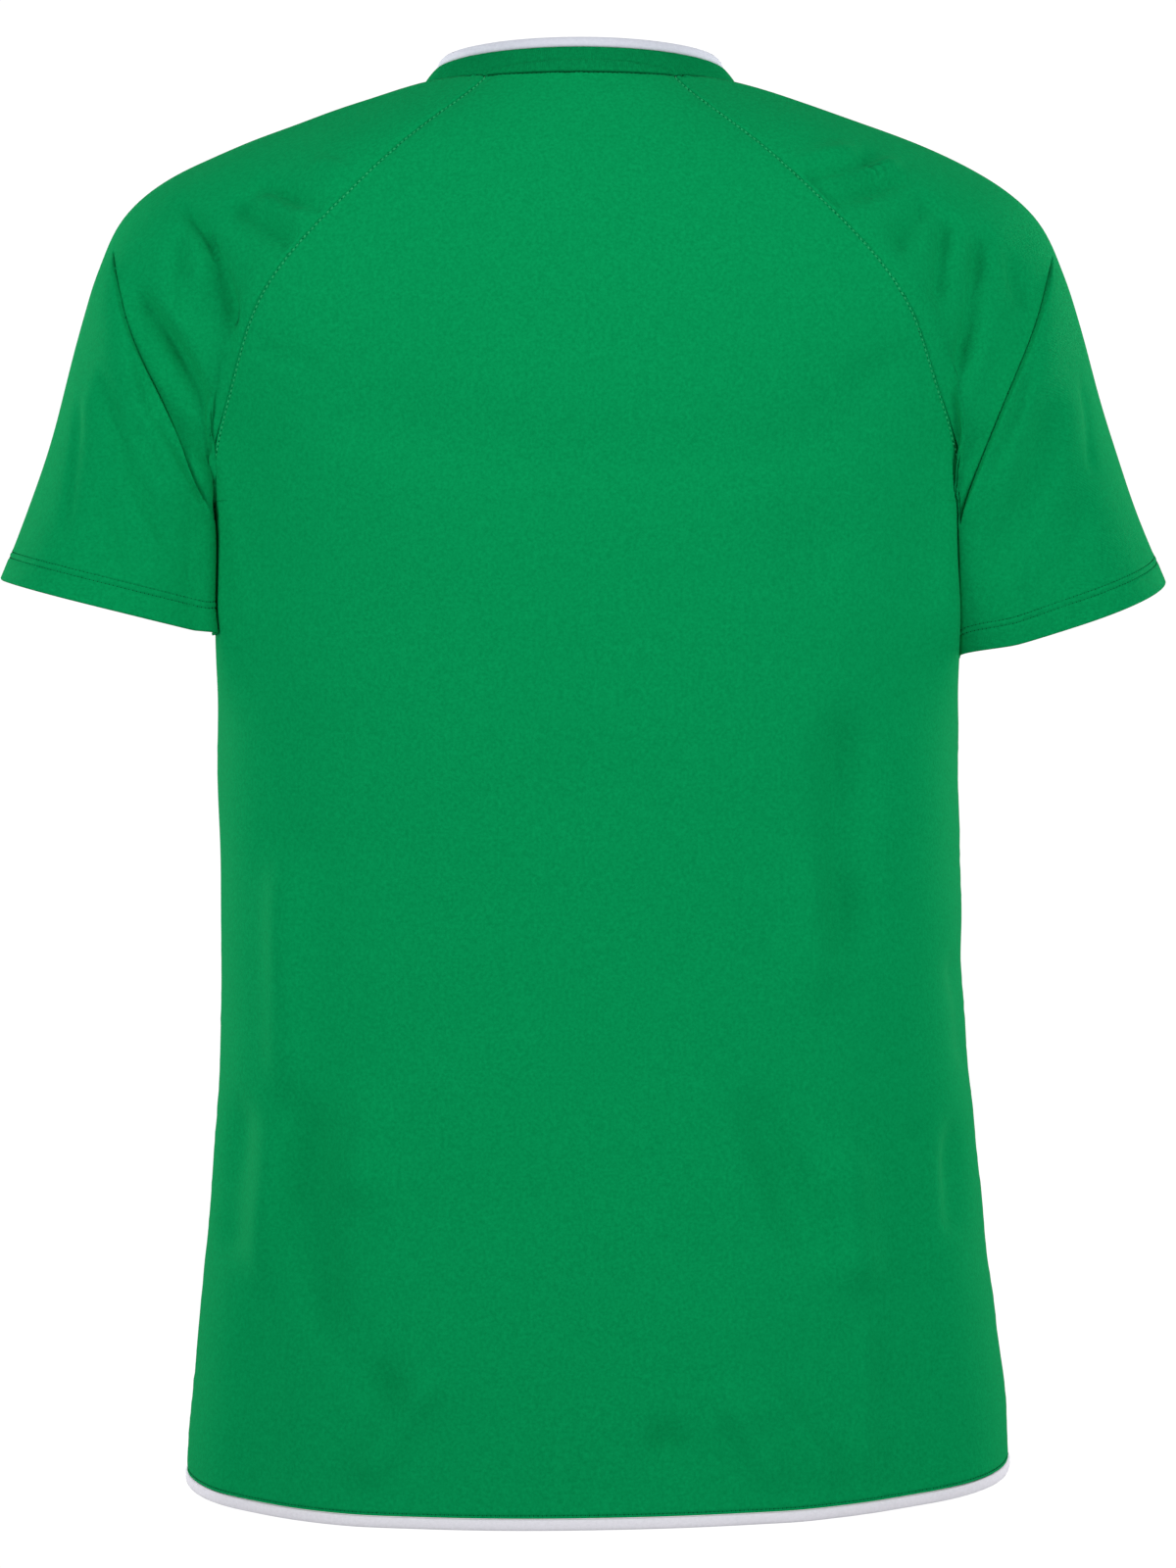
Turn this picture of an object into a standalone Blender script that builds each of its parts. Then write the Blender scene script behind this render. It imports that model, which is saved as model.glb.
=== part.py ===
"""A plain short-sleeved raglan football jersey, filled out as it is worn.

Metres, +Z up.  The wearer would face -Y, so the back panel is on the +Y side and
the wearer's left sleeve is on the +X side.  The origin is the middle of the neck,
level with the seam between collar and shoulders, where the wearer carries it.

Every cut and sewn piece is a thin closed wall of its own.  The body is a stack of
rounded sections, read from one table.  Two raglan seams part it from the sleeves,
and each sleeve is drawn from its raglan seam, over the shoulder, to its cuff.
"""
import math

import bpy
import numpy as np

# ---------------------------------------------------------------- driving sizes
WALL = 0.0016             # a knitted polyester wall, a little thicker than the cloth
SEAM_GAP = 0.0003         # two sewn pieces lie this far apart
ARMPIT_HEIGHT = -0.2160   # where side seam, raglan seams and underarm seam meet
HEM_HEIGHT = -0.7000      # the panels' lower edge at the side seams
HEM_TILT = 0.0035         # the wearer's left side hangs this much lower, the right higher
HEM_TILT_REACH = 0.2000   # measured this far from the middle
HEM_FADE = 0.1300         # the curve of the hem dies out this far above it

BODY_ROWS = 14            # rows of points from the hem to the armpit
RAGLAN_STEPS = 14         # steps along each raglan seam
PANEL_STEPS = 26          # steps across each panel
NECK_STEPS = 8            # steps along the top edge of a sleeve
SLEEVE_ROWS = 16          # rows of points from the raglan seam to the cuff
FINE = 4                  # the form is worked out on a grid this much finer
DENSE_STEPS = 320         # steps across a panel while its columns are spaced out
NECK_BLEND = 0.45         # from this share of a raglan seam a panel turns into its neckline

# The outer form of the body and shoulders, from the hem up to the neck.
SECTION_COLUMNS = ("height", "half_width", "shift", "back_depth", "front_depth", "squareness")
SECTIONS = (
    (-0.730, 0.2110, -0.0050, 0.1265, 0.1215, 2.20),
    (-0.660, 0.2060, -0.0050, 0.1250, 0.1205, 2.20),
    (-0.600, 0.1996, -0.0042, 0.1225, 0.1195, 2.25),
    (-0.530, 0.1930, -0.0035, 0.1195, 0.1190, 2.30),
    (-0.460, 0.1888, -0.0022, 0.1185, 0.1200, 2.35),
    (-0.390, 0.1879, -0.0010, 0.1215, 0.1240, 2.40),
    (-0.320, 0.1882, 0.0000, 0.1285, 0.1290, 2.40),
    (-0.270, 0.1872, 0.0000, 0.1325, 0.1320, 2.40),
    (-0.235, 0.1872, 0.0003, 0.1348, 0.1335, 2.40),
    (-0.216, 0.1882, 0.0006, 0.1355, 0.1336, 2.40),
    (-0.190, 0.1925, 0.0010, 0.1358, 0.1325, 2.40),
    (-0.160, 0.2035, 0.0018, 0.1345, 0.1285, 2.40),
    (-0.125, 0.2200, 0.0025, 0.1295, 0.1170, 2.40),
    (-0.090, 0.2300, 0.0030, 0.1205, 0.0995, 2.40),
    (-0.060, 0.2240, 0.0035, 0.1085, 0.0830, 2.40),
    (-0.040, 0.1960, 0.0038, 0.0990, 0.0700, 2.40),
    (-0.022, 0.1450, 0.0040, 0.0880, 0.0570, 2.40),
    (-0.010, 0.1073, 0.0040, 0.0795, 0.0480, 2.40),
    (0.000, 0.0830, 0.0040, 0.0715, 0.0410, 2.40),
)

# The raglan seams: how far out each one runs at a height, from armpit to neck.
RAGLAN_COLUMNS = ("height", "half_width")
RAGLAN_BACK = ((-0.197, 0.1860), (-0.154, 0.1734), (-0.111, 0.1560),
               (-0.070, 0.1210), (-0.035, 0.0850), (-0.002, 0.0470))
RAGLAN_FRONT = ((-0.198, 0.1840), (-0.148, 0.1610), (-0.115, 0.1390),
                (-0.085, 0.1120), (-0.060, 0.0880), (-0.036, 0.0640))

# The rings of the collar: its seam, the foot of its white edge, and its top.
COLLAR_COLUMNS = ("half_width", "back_depth", "front_depth", "back_height",
                  "side_height", "front_height")
COLLAR_RINGS = {
    "seam": (0.0814, 0.0730, 0.0920, -0.0020, -0.0020, -0.0790),
    "edge_foot": (0.0733, 0.0655, 0.0855, 0.0114, 0.0075, -0.0665),
    "top": (0.0693, 0.0630, 0.0835, 0.0165, 0.0135, -0.0610),
}
SCOOP_START = math.radians(80)  # from this angle on the neckline falls to the front
COLLAR_WALL = 0.0020      # the rib is thicker than the body cloth
EDGE_WALL = 0.0026        # and the folded white edge thicker again

# The rings of a sleeve: its outer and inner point as seen from behind, and how far
# it stands out to the back and to the front.
SLEEVE_COLUMNS = ("outer_x", "outer_z", "inner_x", "inner_z", "back_depth", "front_depth")
SLEEVE_RINGS = (
    (0.1920, -0.0400, 0.1890, -0.2195, 0.0835, 0.0780),
    (0.2190, -0.0560, 0.1872, -0.2235, 0.0785, 0.0750),
    (0.2340, -0.0715, 0.1856, -0.2285, 0.0750, 0.0725),
    (0.2445, -0.0945, 0.1844, -0.2345, 0.0720, 0.0700),
    (0.2555, -0.1290, 0.1834, -0.2430, 0.0690, 0.0675),
    (0.2690, -0.1770, 0.1828, -0.2545, 0.0660, 0.0650),
    (0.2848, -0.2240, 0.1822, -0.2690, 0.0635, 0.0630),
    (0.2965, -0.2530, 0.1816, -0.2815, 0.0615, 0.0610),
)
SLEEVE_SQUARENESS = (2.0, 3.0)        # round at the outer side, flattened at the body
SLEEVE_NECK_ANGLE = math.radians(30)  # ring angle that the back neck corner runs to
SLEEVE_CROWD = 1.2                    # crowds the lines towards the shoulder
# A sleeve's cuff swings to the back (+) or front (-).  Its back edge and its inner
# side hang lower by these amounts.
SLEEVES = {
    "sleeve_left": {"side": 1.0, "swing": 0.024, "cuff_drop": 0.0025, "inner_drop": 0.0},
    "sleeve_right": {"side": -1.0, "swing": -0.018, "cuff_drop": 0.0085, "inner_drop": 0.008},
}
SHOULDER_SLOPE = (0.92, 0.0, -0.39)   # the way the left sleeve leaves the neckline
UNDERARM_FOLD = 0.40      # along this share of a raglan seam the sleeve doubles back
BODY_CLEARANCE = 0.0010   # a sleeve stays this far off the side of the body,
CLEARANCE_EASE = 0.0008   # leaves it in a curve this soft,
CLEARANCE_TOP = 0.0120    # and is held off from this far above the armpit

# The largest folds.  Each runs from (x0, z0) to (x1, z1) as seen from behind or from
# the front, bows outward at its middle, and stands proud (+) or sinks in (-).  On a
# sleeve x counts outward from the middle of the jersey.
FOLD_COLUMNS = ("piece", "facing", "x0", "z0", "x1", "z1", "bow", "width", "lift")
FOLDS = (
    ("sleeve_left", 1, 0.2260, -0.0850, 0.1850, -0.1960, 0.0060, 0.0130, -0.0036),
    ("sleeve_left", 1, 0.2420, -0.0910, 0.1960, -0.2120, 0.0060, 0.0130, 0.0030),
    ("sleeve_left", 1, 0.1870, -0.0800, 0.1800, -0.1350, 0.0000, 0.0110, -0.0022),
    ("sleeve_left", -1, 0.2200, -0.0900, 0.1900, -0.1900, 0.0060, 0.0140, -0.0036),
    ("sleeve_left", -1, 0.2380, -0.1000, 0.2020, -0.2080, 0.0060, 0.0130, 0.0026),
    ("sleeve_right", 1, 0.2240, -0.0850, 0.1840, -0.2020, 0.0075, 0.0130, -0.0036),
    ("sleeve_right", 1, 0.2400, -0.0910, 0.1960, -0.2170, 0.0075, 0.0130, 0.0030),
    ("sleeve_right", 1, 0.1960, -0.0900, 0.1840, -0.1600, 0.0000, 0.0110, -0.0022),
    ("sleeve_right", -1, 0.2180, -0.0900, 0.1880, -0.1940, 0.0060, 0.0140, -0.0036),
    ("sleeve_right", -1, 0.2360, -0.1000, 0.2010, -0.2120, 0.0060, 0.0130, 0.0026),
    ("back_panel", 1, 0.0640, -0.6100, 0.1200, -0.7300, 0.0, 0.0200, 0.0030),
    ("back_panel", 1, -0.0560, -0.6100, -0.1100, -0.7300, 0.0, 0.0200, 0.0032),
    ("back_panel", 1, -0.1500, -0.5200, -0.1600, -0.7300, 0.0, 0.0180, -0.0030),
    ("back_panel", 1, 0.1600, -0.5600, 0.1680, -0.7300, 0.0, 0.0180, -0.0026),
    ("front_panel", -1, 0.0700, -0.5800, 0.1150, -0.7300, 0.0, 0.0220, 0.0032),
    ("front_panel", -1, -0.0760, -0.5600, -0.1220, -0.7300, 0.0, 0.0220, 0.0030),
    ("front_panel", -1, 0.1580, -0.5400, 0.1680, -0.7300, 0.0, 0.0180, -0.0028),
    ("front_panel", -1, -0.1560, -0.5200, -0.1660, -0.7300, 0.0, 0.0180, -0.0028),
)
FOLD_RISE = 0.40          # a fold rises over this share of its length,
FOLD_FALL = 0.30          # dies out over this share,
FOLD_OVERRUN = 0.15       # and runs past both of its ends by this share
SIDE_STILL = 0.12         # folds die out over this share of a panel beside its seams,
NECK_STILL = 0.10         # over this share below its neckline,
RAGLAN_STILL = 0.12       # and over this share of a sleeve beside its raglan seam

BINDING_HEIGHT = 0.0056   # the white binding under the hem
BINDING_WALL = 0.0026

GREEN = (0.003, 0.270, 0.080, 1.0)
RIB_GREEN = (0.003, 0.235, 0.072, 1.0)
WHITE = (0.72, 0.71, 0.80, 1.0)


# ---------------------------------------------------------------- smooth curves
def spline_slopes(knots, values, first=None, last=None):
    """Slopes of the smoothest cubic through the values.  The last axis counts knots."""
    count = knots.shape[-1]
    step = np.diff(knots, axis=-1)
    matrix = np.zeros(knots.shape[:-1] + (count, count))
    right = np.zeros(values.shape)
    rise = np.diff(values, axis=-2) / step[..., None]
    for k in range(1, count - 1):
        before = step[..., k - 1]
        after = step[..., k]
        matrix[..., k, k - 1] = after
        matrix[..., k, k] = 2.0 * (before + after)
        matrix[..., k, k + 1] = before
        right[..., k, :] = 3.0 * (after[..., None] * rise[..., k - 1, :]
                                  + before[..., None] * rise[..., k, :])
    for end, neighbour, gap, given in ((0, 1, 0, first), (count - 1, count - 2, count - 2, last)):
        matrix[..., end, end] = 2.0 if given is None else 1.0
        matrix[..., end, neighbour] = 1.0 if given is None else 0.0
        right[..., end, :] = 3.0 * rise[..., gap, :] if given is None else given
    return np.linalg.solve(matrix, right)


def spline(knots, values, at, first=None, last=None):
    """The smooth curve through values (knots, parts) read at the places `at`."""
    slopes = spline_slopes(knots, values, first, last)
    k = np.clip(np.searchsorted(knots, at) - 1, 0, len(knots) - 2)
    step = knots[k + 1] - knots[k]
    t = ((at - knots[k]) / step)[..., None]
    step = step[..., None]
    return ((1 + 2 * t) * (1 - t) ** 2 * values[k] + t * (1 - t) ** 2 * step * slopes[k]
            + t * t * (3 - 2 * t) * values[k + 1] - t * t * (1 - t) * step * slopes[k + 1])


def smooth_step(x):
    x = np.clip(x, 0.0, 1.0)
    return x * x * (3.0 - 2.0 * x)


def column(table, columns, name):
    return np.array([row[columns.index(name)] for row in table])


def section(name, height):
    """One column of the body's sections, read at any height."""
    knots = column(SECTIONS, SECTION_COLUMNS, "height")
    values = column(SECTIONS, SECTION_COLUMNS, name)[:, None]
    at = np.clip(height, knots[0], knots[-1])
    return spline(knots, values, at)[..., 0]


# ---------------------------------------------------------------- the body's form
def collar_ring(name, angle):
    """A ring of the collar.  Angle 0 is the back, a right angle the wearer's left."""
    size = dict(zip(COLLAR_COLUMNS, COLLAR_RINGS[name]))
    middle = (size["back_depth"] - size["front_depth"]) / 2.0
    reach = (size["back_depth"] + size["front_depth"]) / 2.0
    from_back = np.arccos(np.clip(np.cos(angle), -1.0, 1.0))
    scoop = np.clip((from_back - SCOOP_START) / (math.pi - SCOOP_START), 0.0, 1.0)
    height = (size["side_height"]
              + (size["back_height"] - size["side_height"]) * np.cos(from_back / 2) ** 4
              + (size["front_height"] - size["side_height"]) * np.sin(scoop * math.pi / 2) ** 2)
    x = size["half_width"] * np.sin(angle)
    y = middle + reach * np.cos(angle)
    return np.stack([x, y, height], axis=-1)


PANELS = {
    "back_panel": {"facing": 1.0, "raglan": RAGLAN_BACK, "hem_dip": 0.0143},
    "front_panel": {"facing": -1.0, "raglan": RAGLAN_FRONT, "hem_dip": 0.0090},
}


def neck_corner(panel):
    """The collar angle where a panel's raglan seam meets the neckline."""
    out = panel["raglan"][-1][RAGLAN_COLUMNS.index("half_width")]
    half = COLLAR_RINGS["seam"][COLLAR_COLUMNS.index("half_width")]
    return math.asin(out / half)


def raglan_edge(panel, steps):
    """Height and turning angle of a panel's edge, from the armpit to the neck."""
    height = np.concatenate([[ARMPIT_HEIGHT], column(panel["raglan"], RAGLAN_COLUMNS, "height")])
    out = column(panel["raglan"], RAGLAN_COLUMNS, "half_width")
    ratio = np.concatenate([[1.0], out / section("half_width", height[1:])])
    power = section("squareness", height)
    turn = np.arcsin(np.clip(ratio, 0.0, 1.0) ** (power / 2.0))
    depth = section("back_depth" if panel["facing"] > 0 else "front_depth", height)
    place = np.stack([ratio * section("half_width", height),
                      depth * np.cos(turn) ** (2.0 / power), height], axis=-1)
    knots = np.concatenate([[0.0], np.cumsum(np.linalg.norm(np.diff(place, axis=0), axis=1))])
    at = np.linspace(0.0, knots[-1], steps + 1)
    level_start = np.array([0.0])
    return (spline(knots, height[:, None], at, first=level_start)[:, 0],
            np.clip(spline(knots, turn[:, None], at)[:, 0], 0.0, math.pi / 2),
            at / knots[-1])


def body_point(panel, side_height, turn, scoop, u):
    """Points of the body, across from its right edge (-1) to its left edge (+1)."""
    above_hem = smooth_step(1.0 - (side_height - HEM_HEIGHT) / HEM_FADE)
    bow = 1.0 - u ** 2
    height = side_height - (panel["hem_dip"] * above_hem + scoop) * bow
    depth_name = "back_depth" if panel["facing"] > 0 else "front_depth"
    power = section("squareness", height)
    angle = np.abs(u) * turn
    x = np.sign(u) * section("half_width", height) * np.sin(angle) ** (2.0 / power)
    y = panel["facing"] * section(depth_name, height) * np.cos(angle) ** (2.0 / power)
    height = height - HEM_TILT * above_hem * x / HEM_TILT_REACH
    return np.stack([x, y, height], axis=-1)


def even_out(points, values, count):
    """Values along each row of points, spaced evenly by length."""
    length = np.concatenate([np.zeros((len(points), 1)), np.cumsum(
        np.linalg.norm(np.diff(points, axis=1), axis=2), axis=1)], axis=1)
    out = np.empty((len(points), count))
    for row in range(len(points)):
        wanted = np.linspace(0.0, length[row, -1], count)
        out[row] = np.interp(wanted, length[row], values[row])
    return out


def panel_grid(panel, body_rows, raglan_steps, across_steps):
    """The outer face of a panel as a grid of points, rows from the hem to the neck."""
    low = np.linspace(HEM_HEIGHT, ARMPIT_HEIGHT, body_rows + 1)[:-1]
    high, turn, along = raglan_edge(panel, raglan_steps)
    side_height = np.concatenate([low, high])[:, None]
    turn = np.concatenate([np.full(body_rows, math.pi / 2), turn])[:, None]
    along = np.concatenate([np.zeros(body_rows), along])[:, None]
    corner = neck_corner(panel)
    middle = 0.0 if panel["facing"] > 0 else math.pi
    neck_drop = (collar_ring("seam", np.array([middle + corner]))[0, 2]
                 - collar_ring("seam", np.array([middle]))[0, 2])
    scoop = max(neck_drop, 0.0) * smooth_step(along) ** 1.5
    dense = np.tile(np.linspace(-1.0, 1.0, DENSE_STEPS + 1), (len(side_height), 1))
    rough = body_point(panel, side_height, turn, scoop, dense)
    u = even_out(rough, dense, across_steps + 1)
    grid = body_point(panel, side_height, turn, scoop, u)
    angle = corner * np.linspace(-1.0, 1.0, across_steps + 1)
    rim = collar_ring("seam", angle if panel["facing"] > 0 else math.pi - angle)
    blend = smooth_step((along - NECK_BLEND) / (1.0 - NECK_BLEND))[..., None]
    return grid + (rim - grid[-1]) * blend


# ---------------------------------------------------------------- the sleeves' form
def sleeve_loop(raglan_steps, neck_steps):
    """The upper rim of the left sleeve: points, directions, ring angles and folds.

    It runs from the armpit up the back raglan seam, along the neckline and down the
    front raglan seam.  `fold` is 1 at the armpit, where the cloth doubles back.
    """
    points, leave, angles, fold = [], [], [], []
    for name, turn_sign in (("back_panel", 1.0), ("front_panel", -1.0)):
        grid = panel_grid(PANELS[name], BODY_ROWS, raglan_steps, PANEL_STEPS * 2 * FINE)
        grid = grid[BODY_ROWS:]
        edge = grid[:, -1]
        outward = grid[:, -1] - grid[:, -2]
        along = np.gradient(edge, axis=0)
        along /= np.linalg.norm(along, axis=1, keepdims=True)
        outward -= along * (outward * along).sum(axis=1, keepdims=True)
        outward /= np.linalg.norm(outward, axis=1, keepdims=True)
        part = np.linspace(0.0, 1.0, raglan_steps + 1)
        up = 1.0 - part
        angle = SLEEVE_NECK_ANGLE + (math.pi - SLEEVE_NECK_ANGLE) * up ** SLEEVE_CROWD
        points.append(edge)
        leave.append(outward)
        angles.append(turn_sign * angle)
        fold.append(smooth_step(1.0 - part / UNDERARM_FOLD))
    back_corner = neck_corner(PANELS["back_panel"])
    front_corner = math.pi - neck_corner(PANELS["front_panel"])
    part = np.linspace(0.0, 1.0, neck_steps + 1)[1:-1]
    neck = collar_ring("seam", back_corner + (front_corner - back_corner) * part)
    shoulder = np.array(SHOULDER_SLOPE)
    towards = np.where(part[:, None] < 0.5, leave[0][-1], leave[1][-1])
    near = np.abs(2.0 * part - 1.0)[:, None] ** 1.5
    neck_leave = shoulder + (towards - shoulder) * near
    neck_leave /= np.linalg.norm(neck_leave, axis=1, keepdims=True)
    neck_angles = SLEEVE_NECK_ANGLE * (1.0 - 2.0 * part)
    join = lambda a, b, c: np.concatenate([a, b, c[::-1][:-1]])
    return (join(points[0], neck, points[1]), join(leave[0], neck_leave, leave[1]),
            join(angles[0], neck_angles, angles[1]),
            join(fold[0], np.zeros(len(part)), fold[1]))


def sleeve_rings(angles, sleeve):
    """Points of every ring of a sleeve, seen as the left one, at the given angles."""
    table = {name: column(SLEEVE_RINGS, SLEEVE_COLUMNS, name)[None, :] for name in SLEEVE_COLUMNS}
    along = np.linspace(0.0, 1.0, len(SLEEVE_RINGS))[None, :]
    c = np.cos(angles)[:, None]
    s = np.sin(angles)[:, None]
    round_side, flat_side = SLEEVE_SQUARENESS
    power = 2.0 / (round_side + (flat_side - round_side) * (1.0 - c) / 2.0)
    c = np.sign(c) * np.abs(c) ** power
    s = np.sign(s) * np.abs(s) ** power
    depth = np.where(s > 0.0, table["back_depth"], table["front_depth"])
    inner_z = table["inner_z"] - sleeve["inner_drop"] * along
    x = (table["outer_x"] + table["inner_x"]) / 2 + c * (table["outer_x"] - table["inner_x"]) / 2
    z = (table["outer_z"] + inner_z) / 2 + c * (table["outer_z"] - inner_z) / 2
    y = depth * s + sleeve["swing"] * along
    return np.stack([x, y, z - sleeve["cuff_drop"] * along * s], axis=-1)


def clear_of_body(points):
    """Pushes sleeve points out until they clear the side of the body."""
    x, y, z = points[..., 0], points[..., 1], points[..., 2]
    under = np.minimum(z, ARMPIT_HEIGHT)
    depth = np.where(y > 0.0, section("back_depth", under), section("front_depth", under))
    power = section("squareness", under)
    inside = np.clip(1.0 - np.abs(y / depth) ** power, 0.0, 1.0)
    body = section("half_width", under) * inside ** (1.0 / power)
    wanted = body + BODY_CLEARANCE - x
    push = 0.5 * (wanted + np.sqrt(wanted ** 2 + CLEARANCE_EASE ** 2))
    fade = smooth_step((ARMPIT_HEIGHT + CLEARANCE_TOP - z) / CLEARANCE_TOP)
    moved = points.copy()
    moved[..., 0] = x + push * fade
    return moved


def sleeve_grid(sleeve, raglan_steps, neck_steps, rows):
    """The outer face of the left sleeve, rows from the raglan seam to the cuff."""
    loop, leave, angles, fold = sleeve_loop(raglan_steps, neck_steps)
    rings = sleeve_rings(angles, sleeve)
    stations = np.concatenate([loop[:, None], rings], axis=1)
    chords = np.linalg.norm(np.diff(stations, axis=1), axis=2)
    knots = np.concatenate([np.zeros((len(loop), 1)), np.cumsum(chords, axis=1)], axis=1)
    straight = (stations[:, 1] - stations[:, 0]) / chords[:, :1]
    start = leave + (straight - leave) * fold[:, None]
    start /= np.linalg.norm(start, axis=1, keepdims=True)
    slopes = spline_slopes(knots, stations, first=start)
    out = np.empty((rows + 1, len(loop), 3))
    for row, part in enumerate(np.linspace(0.0, 1.0, rows + 1)):
        at = part * knots[:, -1]
        k = np.clip((knots <= at[:, None]).sum(axis=1) - 1, 0, knots.shape[1] - 2)
        pick = np.arange(len(loop))
        step = (knots[pick, k + 1] - knots[pick, k])[:, None]
        t = ((at - knots[pick, k])[:, None]) / step
        out[row] = ((1 + 2 * t) * (1 - t) ** 2 * stations[pick, k]
                    + t * (1 - t) ** 2 * step * slopes[pick, k]
                    + t * t * (3 - 2 * t) * stations[pick, k + 1]
                    - t * t * (1 - t) * step * slopes[pick, k + 1])
    return clear_of_body(out), fold


# ---------------------------------------------------------------- folds
def fold_lift(name, points, face):
    """How far each point is moved along its normal by the folds of its piece."""
    lift = np.zeros(points.shape[:-1])
    place = points[..., (0, 2)]
    for row in FOLDS:
        fold = dict(zip(FOLD_COLUMNS, row))
        if fold["piece"] != name:
            continue
        start = np.array([fold["x0"], fold["z0"]])
        way = np.array([fold["x1"], fold["z1"]]) - start
        length = np.linalg.norm(way)
        way = way / length
        out = np.array([-way[1], way[0]])
        along = ((place - start) @ way) / length
        along = np.clip(along, -FOLD_OVERRUN, 1.0 + FOLD_OVERRUN)
        off = (place - start) @ out - 4.0 * fold["bow"] * along * (1.0 - along)
        taper = (smooth_step((along + FOLD_OVERRUN) / FOLD_RISE)
                 * smooth_step((1.0 + FOLD_OVERRUN - along) / FOLD_FALL))
        seen = smooth_step(2.0 * fold["facing"] * face[..., 1])
        lift += fold["lift"] * np.exp(-(off / fold["width"]) ** 2) * taper * seen
    return lift


def folded(name, grid, face, still):
    """The grid with its folds.  `still` is 0 at seams, where the cloth is held."""
    return grid + face * (fold_lift(name, grid, face) * still)[..., None]


# ---------------------------------------------------------------- walls
def shear(points):
    """The whole jersey leans a little: its middle shifts with the height."""
    moved = points.copy()
    moved[..., 0] += section("shift", points[..., 2])
    return moved


def normals(grid, closed):
    """Unit normals of a grid of points, whose rows may close into rings."""
    down = np.gradient(grid, axis=0)
    if closed:
        across = np.roll(grid, -1, axis=1) - np.roll(grid, 1, axis=1)
    else:
        across = np.gradient(grid, axis=1)
    cross = np.cross(across, down)
    return cross / np.linalg.norm(cross, axis=2, keepdims=True)


def draw_in(grid, row_gap=0.0, last_row_gap=0.0, side_gap=0.0):
    """Moves the edges of a grid towards its inside, which leaves the seam gaps."""
    grid = grid.copy()
    for row, inner, gap in ((0, 1, row_gap), (-1, -2, last_row_gap)):
        if gap:
            step = grid[inner] - grid[row]
            grid[row] += gap * step / np.linalg.norm(step, axis=1, keepdims=True)
    for col, inner in ((0, 1), (-1, -2)):
        if side_gap:
            step = grid[:, inner] - grid[:, col]
            grid[:, col] += side_gap * step / np.linalg.norm(step, axis=1, keepdims=True)
    return grid


def wall_mesh(name, outer, inner, closed, colour):
    """A closed wall between two grids of points, as one named object."""
    rows, cols = outer.shape[:2]
    points = np.concatenate([outer.reshape(-1, 3), inner.reshape(-1, 3)])
    far = rows * cols
    faces = []
    last = cols if closed else cols - 1
    for r in range(rows - 1):
        for c in range(last):
            d = (c + 1) % cols
            quad = (r * cols + c, r * cols + d, (r + 1) * cols + d, (r + 1) * cols + c)
            faces.append(quad)
            faces.append(tuple(far + i for i in reversed(quad)))
    for r, flip in ((0, True), (rows - 1, False)):
        for c in range(last):
            d = (c + 1) % cols
            quad = (r * cols + c, r * cols + d, far + r * cols + d, far + r * cols + c)
            faces.append(quad if not flip else tuple(reversed(quad)))
    if not closed:
        for c, flip in ((0, False), (cols - 1, True)):
            for r in range(rows - 1):
                quad = (r * cols + c, (r + 1) * cols + c,
                        far + (r + 1) * cols + c, far + r * cols + c)
                faces.append(quad if not flip else tuple(reversed(quad)))
    return add_object(name, points, faces, colour)


def signed_volume(points, faces):
    total = 0.0
    for face in faces:
        a = points[face[0]]
        for i in range(1, len(face) - 1):
            total += np.dot(a, np.cross(points[face[i]], points[face[i + 1]]))
    return total / 6.0


def add_object(name, points, faces, colour):
    if signed_volume(points, faces) < 0.0:
        faces = [tuple(reversed(face)) for face in faces]
    mesh = bpy.data.meshes.new(name)
    mesh.from_pydata([tuple(p) for p in points.tolist()], [], faces)
    mesh.validate()
    mesh.shade_smooth()
    mesh.set_sharp_from_angle(angle=math.radians(40))
    mesh.materials.append(cloth_material(name, colour))
    piece = bpy.data.objects.new(name, mesh)
    bpy.context.scene.collection.objects.link(piece)
    return piece


def cloth_material(name, colour):
    material = bpy.data.materials.new(name)
    material.use_nodes = True
    surface = material.node_tree.nodes["Principled BSDF"]
    surface.inputs["Base Color"].default_value = colour
    surface.inputs["Roughness"].default_value = 0.75
    surface.inputs["Metallic"].default_value = 0.0
    return material


def ring_mesh(name, profile_rings, colour):
    """A closed ring: each item of profile_rings is one ring of points round it."""
    rings = np.stack(profile_rings)
    count, around = rings.shape[:2]
    faces = []
    for k in range(count):
        for c in range(around):
            d = (c + 1) % around
            m = (k + 1) % count
            faces.append((k * around + c, k * around + d, m * around + d, m * around + c))
    return add_object(name, rings.reshape(-1, 3), faces, colour)


# ---------------------------------------------------------------- the pieces
def panel_face(name):
    """The outer face of a panel, with its folds, and its outward directions."""
    panel = PANELS[name]
    grid = shear(panel_grid(panel, BODY_ROWS * FINE, RAGLAN_STEPS * FINE, PANEL_STEPS * FINE))
    face = normals(grid, closed=False)
    face *= panel["facing"] * np.sign((face[..., 1]).mean())
    side_seam = face[:BODY_ROWS * FINE + 1]
    side_seam[:, (0, -1), 1] = 0.0
    across = np.abs(np.linspace(-1.0, 1.0, grid.shape[1]))[None, :]
    down = np.linspace(1.0, 0.0, grid.shape[0])[:, None]
    still = smooth_step((1.0 - across) / SIDE_STILL) * smooth_step(down / NECK_STILL)
    grid = folded(name, grid, face, still)
    return grid[::FINE, ::FINE], face[::FINE, ::FINE]


def make_panel(name):
    grid, face = panel_face(name)
    outer = draw_in(grid, 0.0, SEAM_GAP / 2, SEAM_GAP / 2)
    return wall_mesh(name, outer, outer - WALL * face, False, GREEN)


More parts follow.
